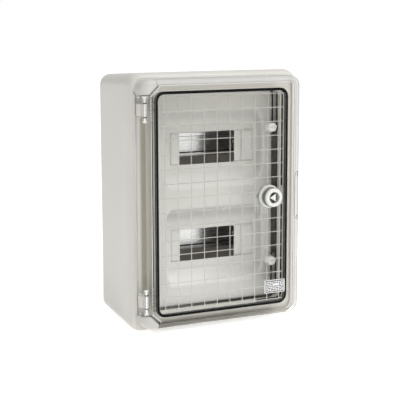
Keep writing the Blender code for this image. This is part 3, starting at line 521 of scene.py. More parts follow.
def room_mask(g, x, y, z):
    """1 on the faces inside the base's walls, and in the well beside the seal on the right."""
    corner_x = g.math("MAXIMUM", g.beyond(x, ROOM_CORNER[0]), 0.0)
    corner_z = g.math("MAXIMUM", g.beyond(z, ROOM_CORNER[1]), 0.0)
    square = g.math("ADD", g.math("POWER", corner_x, 2.0), g.math("POWER", corner_z, 2.0))
    inside = g.below(g.math("SQRT", square), ROOM_ROUND)
    room = g.product(inside, g.between(y, *ROOM_FADE_Y), g.below(y, ROOM_BACK_Y))
    across = g.product(g.below(x, WELL_X[1]), g.above(x, WELL_X[0]))
    upright = g.below(g.math("ABSOLUTE", z), WELL_HALF_Z)
    return g.math("MAXIMUM", room, g.product(g.between(y, *WELL_Y), across, upright))


def sill_mask(g, x, y, z):
    """The shaded bottom edge under the door, which fades towards the right."""
    depth = g.product(g.below(y, SILL_BACK_Y), g.between(z, *SILL_Z, 0.0, SILL_AMOUNT))
    right = g.between(x, *SILL_RIGHT_X, 1.0, SILL_RIGHT_SHARE)
    return g.product(depth, g.between(x, *SILL_LEFT_X), right)


def strip_mask(g, x, y, upright):
    """The shaded strip between the two hinges, beside the sealing lip."""
    left = g.between(x, *STRIP_LEFT_X)
    right = g.between(x, *STRIP_RIGHT_X, 1.0, 0.0)
    level = g.between(upright, *STRIP_END_Z, 1.0, 0.0)
    return g.product(left, right, level, g.below(y, STRIP_BACK_Y))


def abs_housing():
    """Housing plastic: painted brown shade and a faint painted glow inside the box, and painted shade
    on the ears, the bottom edge and the hinge strip.
    """
    g = moulded("housing_abs", HOUSING_GREY, 0.42, 1300.0, 0.00007, 0.0016, 0.025)
    x, y, z = g.axes()
    upright = g.math("ABSOLUTE", z)
    inside = room_mask(g, x, y, z)
    floor = g.between(y, *ROOM_FLOOR_Y)
    body = g.mix(inside, g.base_colour(), g.mix(floor, ROOM_SHADE, ROOM_FLOOR_SHADE))
    # A faint painted glow on the inside faces, stronger towards the back of the box
    g.set(Emission_Color=STRAY_LIGHT, Emission_Strength=g.product(inside, floor, STRAY_AMOUNT))
    body = g.mix(sill_mask(g, x, y, z), body, SILL_SHADE)
    ear = g.product(g.below(y, EAR_BACK_Y), g.above(upright, EAR_LOW_Z), g.below(x, EAR_RIGHT_X))
    body = g.mix(ear, body, EAR_SHADE)
    g.set(Base_Color=g.mix(strip_mask(g, x, y, upright), body, STRIP_SHADE))
    return g.material


def cover_plastic():
    """The inner cover's plastic, with painted light at its foot, on the trough floors and on faces
    turned up, and painted shade towards its top, on its right flanks and on faces turned down."""
    g = moulded("cover_abs", COVER_GREY, 0.4, 1300.0, 0.00005, 0.0008, 0.02)
    x, y, z = g.axes()
    flank = g.product(g.between(y, *FLANK_Y), g.between(x, *FLANK_X))
    body = g.mix(flank, g.base_colour(), COVER_FLANK_SHADE)
    body = g.mix(g.between(y, *TROUGH_FLOOR_Y), body, COVER_FLOOR_LIGHT)
    body = g.mix(g.between(z, *FOOT_Z), body, COVER_FOOT_LIGHT)
    rise = g.mix(g.between(z, *COVER_RISE_Z), (1.0, 1.0, 1.0), COVER_TOP_SHADE)
    body = g.mix(1.0, body, rise, "MULTIPLY")
    slope = g.axes(g.add("NewGeometry").outputs["Normal"])[2]
    low, high = SLOPE_SPAN
    body = g.mix(g.between(slope, low, high, 0.0, UPWARD_AMOUNT), body, COVER_UPWARD_LIGHT)
    downward = g.between(slope, -low, -high, 0.0, DOWNWARD_AMOUNT)
    g.set(Base_Color=g.mix(downward, body, COVER_DOWNWARD_SHADE))
    return g.material


def rolled_steel(name, colour, rough, along):
    """Galvanised strip: rolling lines along one axis, cloudy zinc grain and a few bright scratches."""
    g = Graph(name)
    scale = [STEEL_SCALE[axis == along] for axis in range(3)]
    lines = g.noise(1.0, 4.0, g.stretched(scale))
    flakes = g.add("TexVoronoi", Scale=STEEL_FLAKES, Vector=g.place)
    grain = g.between(flakes.outputs["Distance"], 0.0, 0.8)
    body = g.mix(grain, tint(colour, 0.93), tint(colour, 1.05))
    body = g.mix(g.between(lines, 0.35, 0.7, 0.0, 0.25), body, tint(colour, 0.8))
    low, high = (rough + change for change in STEEL_ROUGH)
    g.set(Base_Color=body, Metallic=1.0, Roughness=g.spread(lines, low, high))
    g.set(Normal=g.bump(lines, *STEEL_BUMP))
    return g.material


def soft_rubber(name):
    """Black rubber with a fine grain and a little dust."""
    g = Graph(name)
    fine = g.noise(2600.0)
    dust = g.between(g.noise(160.0, 5.0), 0.55, 0.8, 0.0, 0.25)
    g.set(Base_Color=g.mix(dust, RUBBER_BLACK, RUBBER_DUST))
    g.set(Roughness=g.spread(fine, *RUBBER_ROUGH), Normal=g.bump(fine, *RUBBER_BUMP))
    g.set(Specular_IOR_Level=RUBBER_SPECULAR)
    return g.material


def edge_glow(g, radius):
    """Light where an edge faces up or left, and shade where it faces down or right."""
    across, _, upright = g.axes(g.add("Bevel", Radius=radius, samples=BEVEL_SAMPLES).outputs[0])
    upward = g.math("SUBTRACT", upright, g.product(across, EDGE_LEAN))
    return g.add("Emission", Color=g.mix(g.between(upward, *EDGE_SPAN), EDGE_DARK, EDGE_LIGHT))


def glancing_shine(g, x, z):
    """Glancing reflections of the outer side, weaker over the area inside the seal."""
    facing = g.add("LayerWeight", Blend=0.5).outputs["Facing"]
    glancing = g.product(g.math("POWER", facing, 4.0), SHINE_GLANCING)
    shine = g.math("ADD", glancing, SHINE_BASE)
    back = g.add("NewGeometry").outputs["Backfacing"]
    outer = g.product(shine, g.math("SUBTRACT", 1.0, back))
    beyond = g.math("MAXIMUM", g.beyond(x, GASKET_HIGH[0]), g.beyond(z, GASKET_HIGH[2]))
    return g.product(outer, g.between(beyond, *SHINE_MARGIN, SHINE_INSIDE, 1.0))


def clear_sheet(name, haze, edge_amount, edge_radius):
    """Clear polycarbonate, with glancing reflections, painted light and shade on its edges and in a
    faint haze, and a painted highlight along its rim.
    """
    g = Graph(name)
    g.tree.nodes.remove(g.shader)
    x, _, z = g.axes()
    normal = g.bump(g.noise(1.0, vector=g.stretched(CLEAR_FLOW)), *CLEAR_BUMP)
    gloss = g.add("BsdfAnisotropic", Roughness=CLEAR_ROUGH, Normal=normal)
    gloss.inputs["Color"].default_value = GLOSS_TINT
    see = g.add("BsdfTransparent")
    see.inputs[0].default_value = CLEAR_TINT
    # How much painted edge light and shade shows: a faint haze everywhere, and more along the edges
    haze_and_edge_light = g.product(g.spread(g.noise(55.0), 0.6, 1.3), haze)
    haze_and_edge_light = g.math("ADD", haze_and_edge_light, g.product(g.edge_mask(edge_radius), edge_amount), True)
    # A painted highlight along the right side and the top edge of the door
    rim_x = g.between(x, *RIM_X, 0.0, RIM_X_AMOUNT)
    rim_z = g.between(z, *RIM_Z, 0.0, RIM_Z_AMOUNT)
    layers = (
        (g.math("MAXIMUM", rim_x, rim_z), g.add("Emission", Color=RIM_LIGHT)),
        (haze_and_edge_light, edge_glow(g, edge_radius)),
        (glancing_shine(g, x, z), gloss),
    )
    result = see.outputs[0]
    for amount, layer in layers:
        result = g.blend(amount, result, layer.outputs[0])
    clear = g.add("BsdfTransparent")
    g.feed(g.output.inputs[0], g.blend(g.camera_ray(), clear.outputs[0], result))
    return g.material


def faint_glow(g, colour, amount):
    """A see-through surface with an even glow, which only the camera sees."""
    g.tree.nodes.remove(g.shader)
    see = g.add("BsdfTransparent")
    glow = g.add("Emission", Color=colour)
    seen = g.product(amount, g.camera_ray())
    g.feed(g.output.inputs[0], g.blend(seen, see.outputs[0], glow.outputs[0]))
    return g.material


def painted_rib_glow():
    """Fine ribs drawn as a faint painted glow that only the camera sees, with painted shade towards the
    top, so they read as pale lines.
    """
    g = Graph("clear_ribs")
    drift = g.spread(g.noise(35.0), -RIB_DRIFT, RIB_DRIFT)
    height = g.math("ADD", g.between(g.axes()[2], *COVER_RISE_Z), drift)
    colour = g.mix(height, RIB_LOW_TONE, RIB_HIGH_TONE)
    return faint_glow(g, colour, g.spread(g.noise(60.0, 2.0), 0.52, 0.78))


def painted_line(name, first, second, low, high):
    """A painted glint or shade inside a thick clear edge, fading in and out along its length."""
    g = Graph(name)
    colour = g.mix(g.spread(g.noise(30.0)), first, second)
    return faint_glow(g, colour, g.spread(g.noise(45.0, 2.0), low, high))


def core_nylon():
    """The lock's core: a white triangle standing in a recess, with painted olive shade deeper in the
    recess.
    """
    g = moulded("lock_core_nylon", (0.74, 0.75, 0.71), 0.35, 1800.0, 0.00003, 0.0, 0.05)
    low, high = (CORE_FRONT + depth for depth in CORE_DEPTH)
    deep = g.between(g.axes()[1], low, high)
    g.set(Base_Color=g.mix(deep, g.base_colour(), CORE_RECESS_SHADE))
    return g.material


# ---------------------------------------------------------------- mesh helpers


def to_piece(name, shape, surface, body, smooth=True):
    data = bpy.data.meshes.new(name)
    bmesh.ops.recalc_face_normals(shape, faces=shape.faces)
    shape.to_mesh(data)
    shape.free()
    for polygon in data.polygons:
        polygon.use_smooth = smooth
    data.materials.append(surface)
    piece = bpy.data.objects.new(name, data)
    bpy.context.scene.collection.objects.link(piece)
    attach(piece, body)
    return piece


def cord_piece(name, path, radius, surface, body="door"):
    """A piece that is one cord, by default inside the door's clear plastic."""
    shape = bmesh.new()
    add_bead(shape, path, radius)
    to_piece(name, shape, surface, body)


def round_edges(piece, width):
    bevel = piece.modifiers.new("round", "BEVEL")
    bevel.width = width
    bevel.segments = 3
    bevel.limit_method = "ANGLE"
    bevel.angle_limit = math.radians(30)


def add_box(shape, low, high):
    corners = [[(low, high)[(corner >> axis) & 1][axis] for axis in range(3)] for corner in range(8)]
    verts = [shape.verts.new(corner) for corner in corners]
    for face in ((0, 2, 3, 1), (4, 5, 7, 6), (0, 1, 5, 4), (2, 6, 7, 3), (0, 4, 6, 2), (1, 3, 7, 5)):
        shape.faces.new([verts[index] for index in face])


def add_turned(shape, profile, centre, axis, steps=48):
    """A closed ring of revolution about Y or Z, from (radius, distance along the axis) points."""
    rings = []
    for step in range(steps):
        angle = 2 * math.pi * step / steps
        ring = []
        for radius, along in profile:
            first = centre[0] + radius * math.cos(angle)
            second = centre[1] + radius * math.sin(angle)
            place = (first, along, second) if axis == "Y" else (first, second, along)
            ring.append(shape.verts.new(place))
        rings.append(ring)
    for step in range(steps):
        near, far = rings[step], rings[(step + 1) % steps]
        for index in range(len(profile)):
            after = (index + 1) % len(profile)
            shape.faces.new((near[index], near[after], far[after], far[index]))


# ---------------------------------------------------------------- inner cover


def ease(value):
    value = min(1.0, max(0.0, value))
    return value * value * (3 - 2 * value)


def off_row(z):
    """Height above or below the middle of the nearer window."""
    return min(abs(z - side * ROW_Z - ROW_SHIFT) for side in (1, -1))


def trough_depth(x, z):
    """How far the sheet is sunk here: long curved flanks above and below, and short ends."""
    offset = off_row(z)
    if offset >= TROUGH_HALF:
        return 0.0
    flank = math.sin(math.pi / 2 * min(1.0, (TROUGH_HALF - offset) / TROUGH_FLANK))
    bow = TROUGH_BOW * (offset / TROUGH_HALF) ** 4
    right = ease((TROUGH_RIGHT - bow - x) / TROUGH_END)
    left = ease((x - TROUGH_LEFT - bow / 2) / TROUGH_END)
    return TROUGH_DEPTH * flank * right * left


def in_window(x, z):
    return WINDOW_X[0] < x < WINDOW_X[1] and off_row(z) < WINDOW_HALF


def groove(x, z):
    """1 on the centre line of a knock-out's groove."""
    off = off_row(z)
    for left, right in KNOCK_OUTS:
        on_side = min(abs(x - left), abs(x - right)) < TINY and off <= WINDOW_HALF + TINY
        on_level = abs(off - WINDOW_HALF) < TINY and left - TINY <= x <= right + TINY
        at_window = WINDOW_X[0] - TINY <= x <= WINDOW_X[1] + TINY
        if (on_side or on_level) and not at_window:
            return 1.0
    return 0.0


def lines(low, high, marks):
    """Grid lines from low to high: even steps, plus marks with a close line on each side."""
    count = round((high - low) / GRID_STEP)
    found = set()
    for mark in marks:
        found.update((mark - GROOVE_HALF, mark, mark + GROOVE_HALF))
    for step in range(count + 1):
        value = low + (high - low) * step / count
        if all(abs(value - other) > GRID_STEP * GRID_CLOSEST for other in found):
            found.add(value)
    for inset in GRID_EDGES:
        found.update((low + inset, high - inset))
    return sorted(found)


def edge_drop(distance):
    """How far the sheet bends back at this distance from its outline."""
    inside = min(distance, COVER_EDGE_ROUND)
    gap = COVER_EDGE_ROUND - inside
    return COVER_EDGE_ROUND - math.sqrt(max(0.0, COVER_EDGE_ROUND**2 - gap**2))


def round_corner(x, z):
    """Pulls the square corners of the grid in to a quarter circle."""
    middle = (COVER_LEFT + COVER_RIGHT) / 2
    half = ((COVER_RIGHT - COVER_LEFT) / 2, COVER_HALF_Z)
    a = (abs(x - middle) - half[0] + COVER_RADIUS) / COVER_RADIUS
    b = (abs(z) - half[1] + COVER_RADIUS) / COVER_RADIUS
    if a <= 0 or b <= 0:
        return x, z
    a, b = a * math.sqrt(1 - b * b / 2), b * math.sqrt(1 - a * a / 2)
    new_x = middle + math.copysign(half[0] - COVER_RADIUS + a * COVER_RADIUS, x - middle)
    return new_x, math.copysign(half[1] - COVER_RADIUS + b * COVER_RADIUS, z)


def from_head(x, z):
    """Distance from the axis of the nearer cover fastener."""
    return math.hypot(x - HEAD_CENTRE[0], abs(z) - HEAD_CENTRE[1])


def is_notch(x, z):
    at_hinge = x < HINGE_NOTCH_X and abs(abs(z) - HINGE_Z) < HINGE_NOTCH
    return at_hinge or from_head(x, z) < SHANK_CLEAR or in_window(x, z)


def make_cover(surface):
    """The inner cover as one drawn sheet: a grid bent into the troughs, then given its thickness."""
    ends = [(side, end) for side in (1, -1) for end in (1, -1)]
    x_marks = [value for pair in KNOCK_OUTS for value in pair] + list(WINDOW_X)
    z_marks = [side * ROW_Z + ROW_SHIFT + end * WINDOW_HALF for side, end in ends]
    notch_z = [side * HINGE_Z + end * HINGE_NOTCH for side, end in ends]
    xs = sorted(set(lines(COVER_LEFT, COVER_RIGHT, x_marks)) | {HINGE_NOTCH_X})
    zs = sorted(set(lines(-COVER_HALF_Z, COVER_HALF_Z, z_marks)) | set(notch_z))
    shape = bmesh.new()
    grid = []
    for x in xs:
        row = []
        for z in zs:
            place = round_corner(x, z)
            rim = min(x - COVER_LEFT, COVER_RIGHT - x, COVER_HALF_Z - abs(z))
            y = COVER_FRONT + trough_depth(x, z) + edge_drop(rim) + GROOVE_DEPTH * groove(x, z)
            row.append(shape.verts.new((place[0], y, place[1])))
        grid.append(row)
    for i in range(len(xs) - 1):
        for j in range(len(zs) - 1):
            centre = ((xs[i] + xs[i + 1]) / 2, (zs[j] + zs[j + 1]) / 2)
            if not is_notch(*centre):
                corners = (grid[i][j], grid[i + 1][j], grid[i + 1][j + 1], grid[i][j + 1])
                shape.faces.new(corners)
    loose = [vert for vert in shape.verts if not vert.link_faces]
    bmesh.ops.delete(shape, geom=loose, context="VERTS")
    add_skirt(shape)
    cover = to_piece("cover_sheet", shape, surface, "inner_cover")
    skin = cover.modifiers.new("sheet", "SOLIDIFY")
    skin.thickness = COVER_SHEET
    skin.offset = -1
    return cover


def add_skirt(shape):
    """Extrudes the outer boundary back, leaving the holes as they are, with a notch for each pawl."""
    outline = []
    for edge in shape.edges:
        if not edge.is_boundary:
            continue
        middle = (edge.verts[0].co + edge.verts[1].co) / 2
        near_shank = from_head(middle.x, middle.z) < 2 * SHANK_CLEAR
        in_hole = middle.y > COVER_FRONT + TROUGH_DEPTH - HOLE_MARGIN
        if not in_hole and not (near_shank and middle.x < COVER_RIGHT - EDGE_MARGIN):
            outline.append(edge)
    made = bmesh.ops.extrude_edge_only(shape, edges=outline)["geom"]
    for item in made:
        if isinstance(item, bmesh.types.BMVert):
            upright = abs(item.co.z)
            at_pawl = item.co.x > PAWL_NOTCH_X and PAWL_NOTCH[0] < upright < PAWL_NOTCH[1]
            item.co.y = PAWL_NOTCH_Y if at_pawl else COVER_BACK


def make_rail_shades(surface):
    """The dark line of dust and painted shade in the two inner corners of each rail."""
    for where in ("upper", "lower"):
        low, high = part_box(f"din_rail_{where}")
        middle = (low[2] + high[2]) / 2
        y = high[1] - RAIL_CORNER_DEPTH
        for side, edge in ((1, "top"), (-1, "bottom")):
            z = middle + side * RAIL_CORNER_Z
            xs = (low[0] + RAIL_SHADE_INSET, 0.0, high[0] - RAIL_SHADE_INSET)
            path = [(x, y, z) for x in xs]
            name = f"rail_shade_{where}_{edge}"
            cord_piece(name, path, RAIL_SHADE_RADIUS, surface, "enclosure")


def make_cover_fittings(surface):
    """The raised collars of the fasteners and the hinge eyes of the cover."""
    for side, where in ((1, "upper"), (-1, "lower")):
        shape = bmesh.new()
        add_turned(shape, COLLAR_PROFILE, (HEAD_CENTRE[0], side * HEAD_CENTRE[1]), "Y")
        to_piece(f"cover_collar_{where}", shape, surface, "inner_cover")
        shape = bmesh.new()
        for end in (1, -1):
            inner, outer = (side * HINGE_Z + end * reach for reach in EYE_ENDS)
            ring = (
                (EYE_BORE, inner),
                (EYE_FACE, inner),
                (EYE_RADIUS, inner + end * EYE_CHAMFER),
                (EYE_RADIUS, outer),
                (EYE_BORE, outer),
            )
            add_turned(shape, ring, COVER_AXIS, "Z", EYE_STEPS)
        to_piece(f"cover_eye_{where}", shape, surface, "inner_cover")


# ---------------------------------------------------------------- door details


def make_door_ribs(surface):
    """The square net of fine ribs moulded on the inner face of the clear door."""
    inset = RIB_SEAL_INSET
    upright = (GASKET_LOW[2] + inset, GASKET_HIGH[2] - inset)
    level = (GASKET_LOW[0] + inset, GASKET_HIGH[0] - inset)
    shape = bmesh.new()
    for axis, (low, high) in enumerate((upright, level)):
        middle = LOCK_CENTRE[1 - axis]
        for number in range(RIB_COUNT[axis]):
            at = RIB_FIRST[axis] + RIB_PITCH[axis] * number
            spans = [(low, high)]
            off = abs(at - LOCK_CENTRE[axis])
            if off < RIB_LOCK_CLEARANCE:
                half = math.sqrt(RIB_LOCK_CLEARANCE**2 - off**2)
                spans = [(low, middle - half), (middle + half, high)]
            for start, end in spans:
                add_rib(shape, axis, at, start, end)
    to_piece("door_ribs", shape, surface, "door", False)


def add_rib(shape, axis, at, start, end):
    """A rib with a narrower crest; the upright ones stand a little prouder than the level ones."""
    height = RIB_HEIGHT * (1.0 if axis == 0 else RIB_LEVEL_SHARE)
    crest = RIB_HALF_WIDTH * RIB_CREST_SHARE
    section = (
        (-RIB_HALF_WIDTH, DOOR_INSIDE - RIB_ROOT),
        (RIB_HALF_WIDTH, DOOR_INSIDE - RIB_ROOT),
        (crest, DOOR_INSIDE + height),
        (-crest, DOOR_INSIDE + height),
    )
    ends = []
    for along in (start, end):
        ring = []
        for across, y in section:
            place = (at + across, y, along) if axis == 0 else (along, y, at + across)
            ring.append(shape.verts.new(place))
        ends.append(ring)
    near, far = ends
    shape.faces.new(near)
    shape.faces.new(far[::-1])
    for index in range(len(section)):
        after = (index + 1) % len(section)
        shape.faces.new((near[index], near[after], far[after], far[index]))


def make_gate_mark(surface):
    """The round injection mark at the middle of the door."""
    shape = bmesh.new()
    profile = [(radius, DOOR_INSIDE + height) for radius, height in GATE_PROFILE]
    add_turned(shape, profile, GATE_PLACE, "Y")
    to_piece("door_gate_mark", shape, surface, "door")


def add_label_bar(shape, across, upright, half_x, half_z):
    """A flat bar between two shares of the label's width and of its height, grown by two half sizes."""
    width = LABEL_HIGH[0] - LABEL_LOW[0]
    height = LABEL_HIGH[2] - LABEL_LOW[2]
    front = LABEL_LOW[1] - LABEL_INK
    left, right = (LABEL_LOW[0] + width * share for share in across)
    bottom, top = (LABEL_LOW[2] + height * share for share in upright)
    low = (left - half_x, front, bottom - half_z)
    add_box(shape, low, (right + half_x, front + 2 * LABEL_INK, top + half_z))


def make_label_rules(surface):
    """A plain frame on the label, with rows of plain dashes where a maker would print."""
    shape = bmesh.new()
    for row in range(DASH_ROWS):
        level = DASH_FIRST_ROW + DASH_ROW_PITCH * row
        at = DASH_SPAN[0]
        count = row
        while at < DASH_SPAN[1]:
            long = DASHES[count % len(DASHES)]
            if not (row == BLANK_ROW and BLANK_SPAN[0] < at < BLANK_SPAN[1]):
                across = (at, min(at + long, DASH_RIGHT))
                add_label_bar(shape, across, (level, level), 0.0, DASH_HALF)
            at += long + DASH_SPACE
            count += 1
    for share in LABEL_FRAME_X:
        add_label_bar(shape, (share, share), LABEL_FRAME_Z, LABEL_FRAME_HALF, 0.0)
    for share in LABEL_FRAME_Z:
        add_label_bar(shape, LABEL_FRAME_X, (share, share), 0.0, LABEL_FRAME_HALF)
    to_piece("label_rules", shape, surface, "door", False)


def towards_lock(point):
    """Moves a point of the flutes in towards the lock's axis."""
    x, z = LOCK_CENTRE
    return (x + (point.x - x) * FLUTE_INSIDE, point.y, z + (point.z - z) * FLUTE_INSIDE)


def make_lock_flutes(surface):
    """The fluted grip band around the lock's barrel."""
    steps = FLUTE_TEETH * 4
    shape = bmesh.new()
    rings = []
    for y, radius in FLUTE_LEVELS:
        ring = []
        for step in range(steps):
            reach = radius + (FLUTE_CREST if step % 4 < 2 else FLUTE_ROOT)
            angle = 2 * math.pi * step / steps
            x = LOCK_CENTRE[0] + reach * math.cos(angle)
            z = LOCK_CENTRE[1] + reach * math.sin(angle)
            ring.append(shape.verts.new((x, y, z)))
        rings.append(ring)
    for ring in (rings[-1], rings[0]):
        rings.append([shape.verts.new(towards_lock(vert.co)) for vert in ring])
    for level, ring in enumerate(rings):
        after = rings[(level + 1) % len(rings)]
        for step in range(steps):
            follow = (step + 1) % steps
            shape.faces.new((ring[step], after[step], after[follow], ring[follow]))
    to_piece("lock_flutes", shape, surface, "door", False)


def right_loop(half, radius, start_x):
    """Outline points from the upper left, round the right side, to the lower left."""
    points = [(start_x, half[1])]
    for side in (1, -1):
        centre = (half[0] - radius, side * (half[1] - radius))
        for step in range(9):
            angle = math.radians(90 - 11.25 * step if side > 0 else -11.25 * step)
            x = centre[0] + radius * math.cos(angle)
            points.append((x, centre[1] + radius * math.sin(angle)))
    return points + [(start_x, -half[1])]


def at_depth(points, y):
    return [(x, y, z) for x, z in points]


def make_slant_lines(up, where, dark, pale, deep):
    """Painted shade lines along the door's cut corner at one ear, at its front and at its back, and a
    painted glint beside it.
    """
    tip, bend = EAR_SLANT
    slant = [
        (tip[0] - SIDE_START, up * SIDE_HALF[1] * SIDE_SHARE),
        (tip[0], up * tip[1]),
        (bend[0], up * bend[1]),
        (EAR_END_X, up * bend[1]),
    ]
    slant = [(x + SLANT_INSET, z - up * SLANT_DROP) for x, z in slant]
    depths = (SLANT_END_Y, SLANT_MIDDLE_Y, SLANT_MIDDLE_Y, SLANT_END_Y)
    front = [(x, y, z) for (x, z), y in zip(slant, depths)]
    glint = [(x + SLANT_GLINT[0], y, z - up * SLANT_GLINT[1]) for x, y, z in front[1:3]]
    back = at_depth(slant[:3], SLANT_BACK_Y)
    runs = (("slant", deep, front), ("slant_back", dark, back), ("slant_glint", pale, glint))
    for kind, surface, path in runs:
        cord_piece(f"door_line_{kind}_{where}", path, LINE_RADII[kind], surface)


def make_door_lines(dark, pale, deep):
    """Cords of painted shade and painted glint inside the clear door, along its thick edges."""
    tip, bend = EAR_SLANT
    panel = right_loop(PANEL_HALF, PANEL_ROUND, tip[0])
    inset = PANEL_GLINT_INSET
    glint_half = [size - inset for size in PANEL_HALF]
    glint = right_loop(glint_half, PANEL_ROUND - inset, tip[0] + inset)[:-1]
    side = right_loop(SIDE_HALF, SIDE_ROUND, tip[0] - SIDE_START)
    side = [(x - SIDE_INSET, z * SIDE_SHARE) for x, z in side]
    left = [(-PANEL_HALF[0], end * bend[1]) for end in (1, -1)]
    left_glint = [(LEFT_GLINT_INSET - PANEL_HALF[0], z) for _, z in left]
    runs = (
        ("panel", dark, panel, PANEL_LINE_Y),
        ("panel_glint", pale, glint, PANEL_LINE_Y),
        ("side", dark, side, SIDE_Y),
        ("skirt", dark, side, SKIRT_Y),
        ("left", dark, left, PANEL_LINE_Y),
        ("left_glint", pale, left_glint, PANEL_LINE_Y),
    )
    for name, surface, points, y in runs:
        cord_piece(f"door_line_{name}", at_depth(points, y), LINE_RADII[name], surface)
    for up, where in ((1, "upper"), (-1, "lower")):
        make_slant_lines(up, where, dark, pale, deep)


def make_grip_lines(dark, pale, deep):
    """The outline of the finger grip sunk in the door's free edge, drawn as painted shade and glint
    lines with painted shade at their ends.
    """
    for (name, x, y, radius), surface in zip(GRIP_LINES, (dark, pale)):
        hook_x = x + GRIP_HOOK * GRIP_HOOK_SHARE
        hook_y = y + GRIP_HOOK_BACK
        path = [
            (hook_x, hook_y, GRIP_HALF),
            (x, y, GRIP_HALF - GRIP_HOOK),
            (x, y, GRIP_HOOK - GRIP_HALF),
            (hook_x, hook_y, -GRIP_HALF),
        ]
        cord_piece(f"grip_line_{name}", path, radius, surface)
    for side, where in ((1, "upper"), (-1, "lower")):
        levels = (GRIP_HALF - GRIP_HOOK, GRIP_HALF + GRIP_SHADE_PAST)
        path = [(*GRIP_SHADE_XY, side * level) for level in levels]
        cord_piece(f"grip_shade_{where}", path, GRIP_SHADE_RADIUS, deep)


def add_bead(shape, path, radius):
    """A round cord along straight runs, closed at both ends."""
    sides = 8
    rings = []
    for index, place in enumerate(path):
        before = Vector(path[max(index - 1, 0)])
        after = Vector(path[min(index + 1, len(path) - 1)])
        run = (after - before).normalized()
        across = run.cross(Vector((0, 1, 0))).normalized()
        ring = []
        for side in range(sides):
            angle = 2 * math.pi * side / sides
            offset = across * math.cos(angle) + Vector((0, 1, 0)) * math.sin(angle)
            ring.append(shape.verts.new(Vector(place) + offset * radius))
        rings.append(ring)
    for near, far in zip(rings, rings[1:]):
        for side in range(sides):
            follow = (side + 1) % sides
            shape.faces.new((near[side], near[follow], far[follow], far[side]))
    shape.faces.new(rings[0][::-1])
    shape.faces.new(rings[-1])


def make_left_lip_shade(surface):
    """Painted shade outside the lip on the left, as dark cords: one long run, and dashes by the hinges.
    """
    shape = bmesh.new()
    levels = (LEFT_CORD_END, 0.0, -LEFT_CORD_END)
    add_bead(shape, [(*LEFT_CORD, z) for z in levels], LEFT_CORD_RADIUS)
    for side in (1, -1):
        for dash in range(LEFT_DASHES):
            start = side * (LEFT_DASH_FIRST + LEFT_DASH_PITCH * dash)
            ends = (start, start + side * LEFT_DASH_LENGTH)
            add_bead(shape, [(*LEFT_CORD, z) for z in ends], LEFT_DASH_RADIUS)
    to_piece("lip_shade_left", shape, surface, "enclosure")


def make_lip_shade_lines(surface):
    """Dark cords of painted shade along the lip: on the left, inside the lip on the right and round its
    lower corner, and a thin line at its foot."""
    make_left_lip_shade(surface)
    x, y = RIGHT_CORD
    bend = RIGHT_CORD_BEND
    upper = [(x, y, z) for z in (RIGHT_CORD_NEAR_LOCK, RIGHT_CORD_MIDDLE, RIGHT_CORD_TOP)]
    lower = [(x, y, z) for z in (-RIGHT_CORD_NEAR_LOCK, -RIGHT_CORD_MIDDLE)]
    for step in range(7):
        angle = math.radians(15 * step)
        turn_x = x - bend + bend * math.cos(angle)
        lower.append((turn_x, y, RIGHT_CORD_BEND_Z - bend * math.sin(angle)))
    lower.append((RIGHT_CORD_FOOT[0], y, RIGHT_CORD_FOOT[1]))
    foot = [(foot_x, *FOOT_CORD_YZ) for foot_x in FOOT_CORD_X]
    cords = (
        ("right_upper", upper, RIGHT_CORD_RADIUS),
        ("right_lower", lower, RIGHT_CORD_RADIUS),
        ("foot", foot, FOOT_CORD_RADIUS),
    )
    for name, path, radius in cords:
        cord_piece(f"lip_shade_{name}", path, radius, surface, "enclosure")


def make_hinge_details(shade, glint):
    """Rings of painted shade and glint at the ends of the clear knuckles, and a painted glint at the
    end of the flange above each hinge.
    """
    bore, rim = KNUCKLE_RING_RADII
    for side, where in ((1, "upper"), (-1, "lower")):
        for (kind, levels), surface in zip(KNUCKLE_RINGS, (shade, glint)):
            shape = bmesh.new()
            for level in levels:
                low = side * level - KNUCKLE_RING_HALF
                high = side * level + KNUCKLE_RING_HALF
                ring = ((bore, low), (rim, low), (rim, high), (bore, high))
                add_turned(shape, ring, HINGE_AXIS, "Z", KNUCKLE_RING_STEPS)
            to_piece(f"knuckle_{kind}_{where}", shape, surface, "door")
        z = side * FLANGE_Z
        levels = (z, z, z - side * FLANGE_BEND)
        path = [(FLANGE_X, y, level) for y, level in zip(FLANGE_Y, levels)]
        cord_piece(f"flange_glint_{where}", path, FLANGE_RADIUS, glint)


# ---------------------------------------------------------------- studio


def add_camera():
    data = bpy.data.cameras.new("camera")
    data.lens = CAMERA_LENS
    data.sensor_width = SENSOR
    camera = bpy.data.objects.new("camera", data)
    turn = Matrix.Rotation(math.radians(-CAMERA_YAW), 4, "Z")
    lift = Matrix.Rotation(math.radians(90 + CAMERA_TILT), 4, "X")
    roll = Matrix.Rotation(math.radians(CAMERA_ROLL), 4, "Z")
    camera.matrix_world = Matrix.Translation(CAMERA_PLACE) @ turn @ lift @ roll
    bpy.context.scene.collection.objects.link(camera)
    bpy.context.scene.camera = camera


def add_key_light():
    data = bpy.data.lights.new("key", "AREA")
    data.shape = "RECTANGLE"
    data.size, data.size_y = KEY_SIZE
    data.energy = KEY_POWER
    light = bpy.data.objects.new("key", data)
    light.location = KEY_PLACE
    light.rotation_euler = (-Vector(KEY_PLACE)).to_track_quat("-Z", "Y").to_euler()
    bpy.context.scene.collection.objects.link(light)


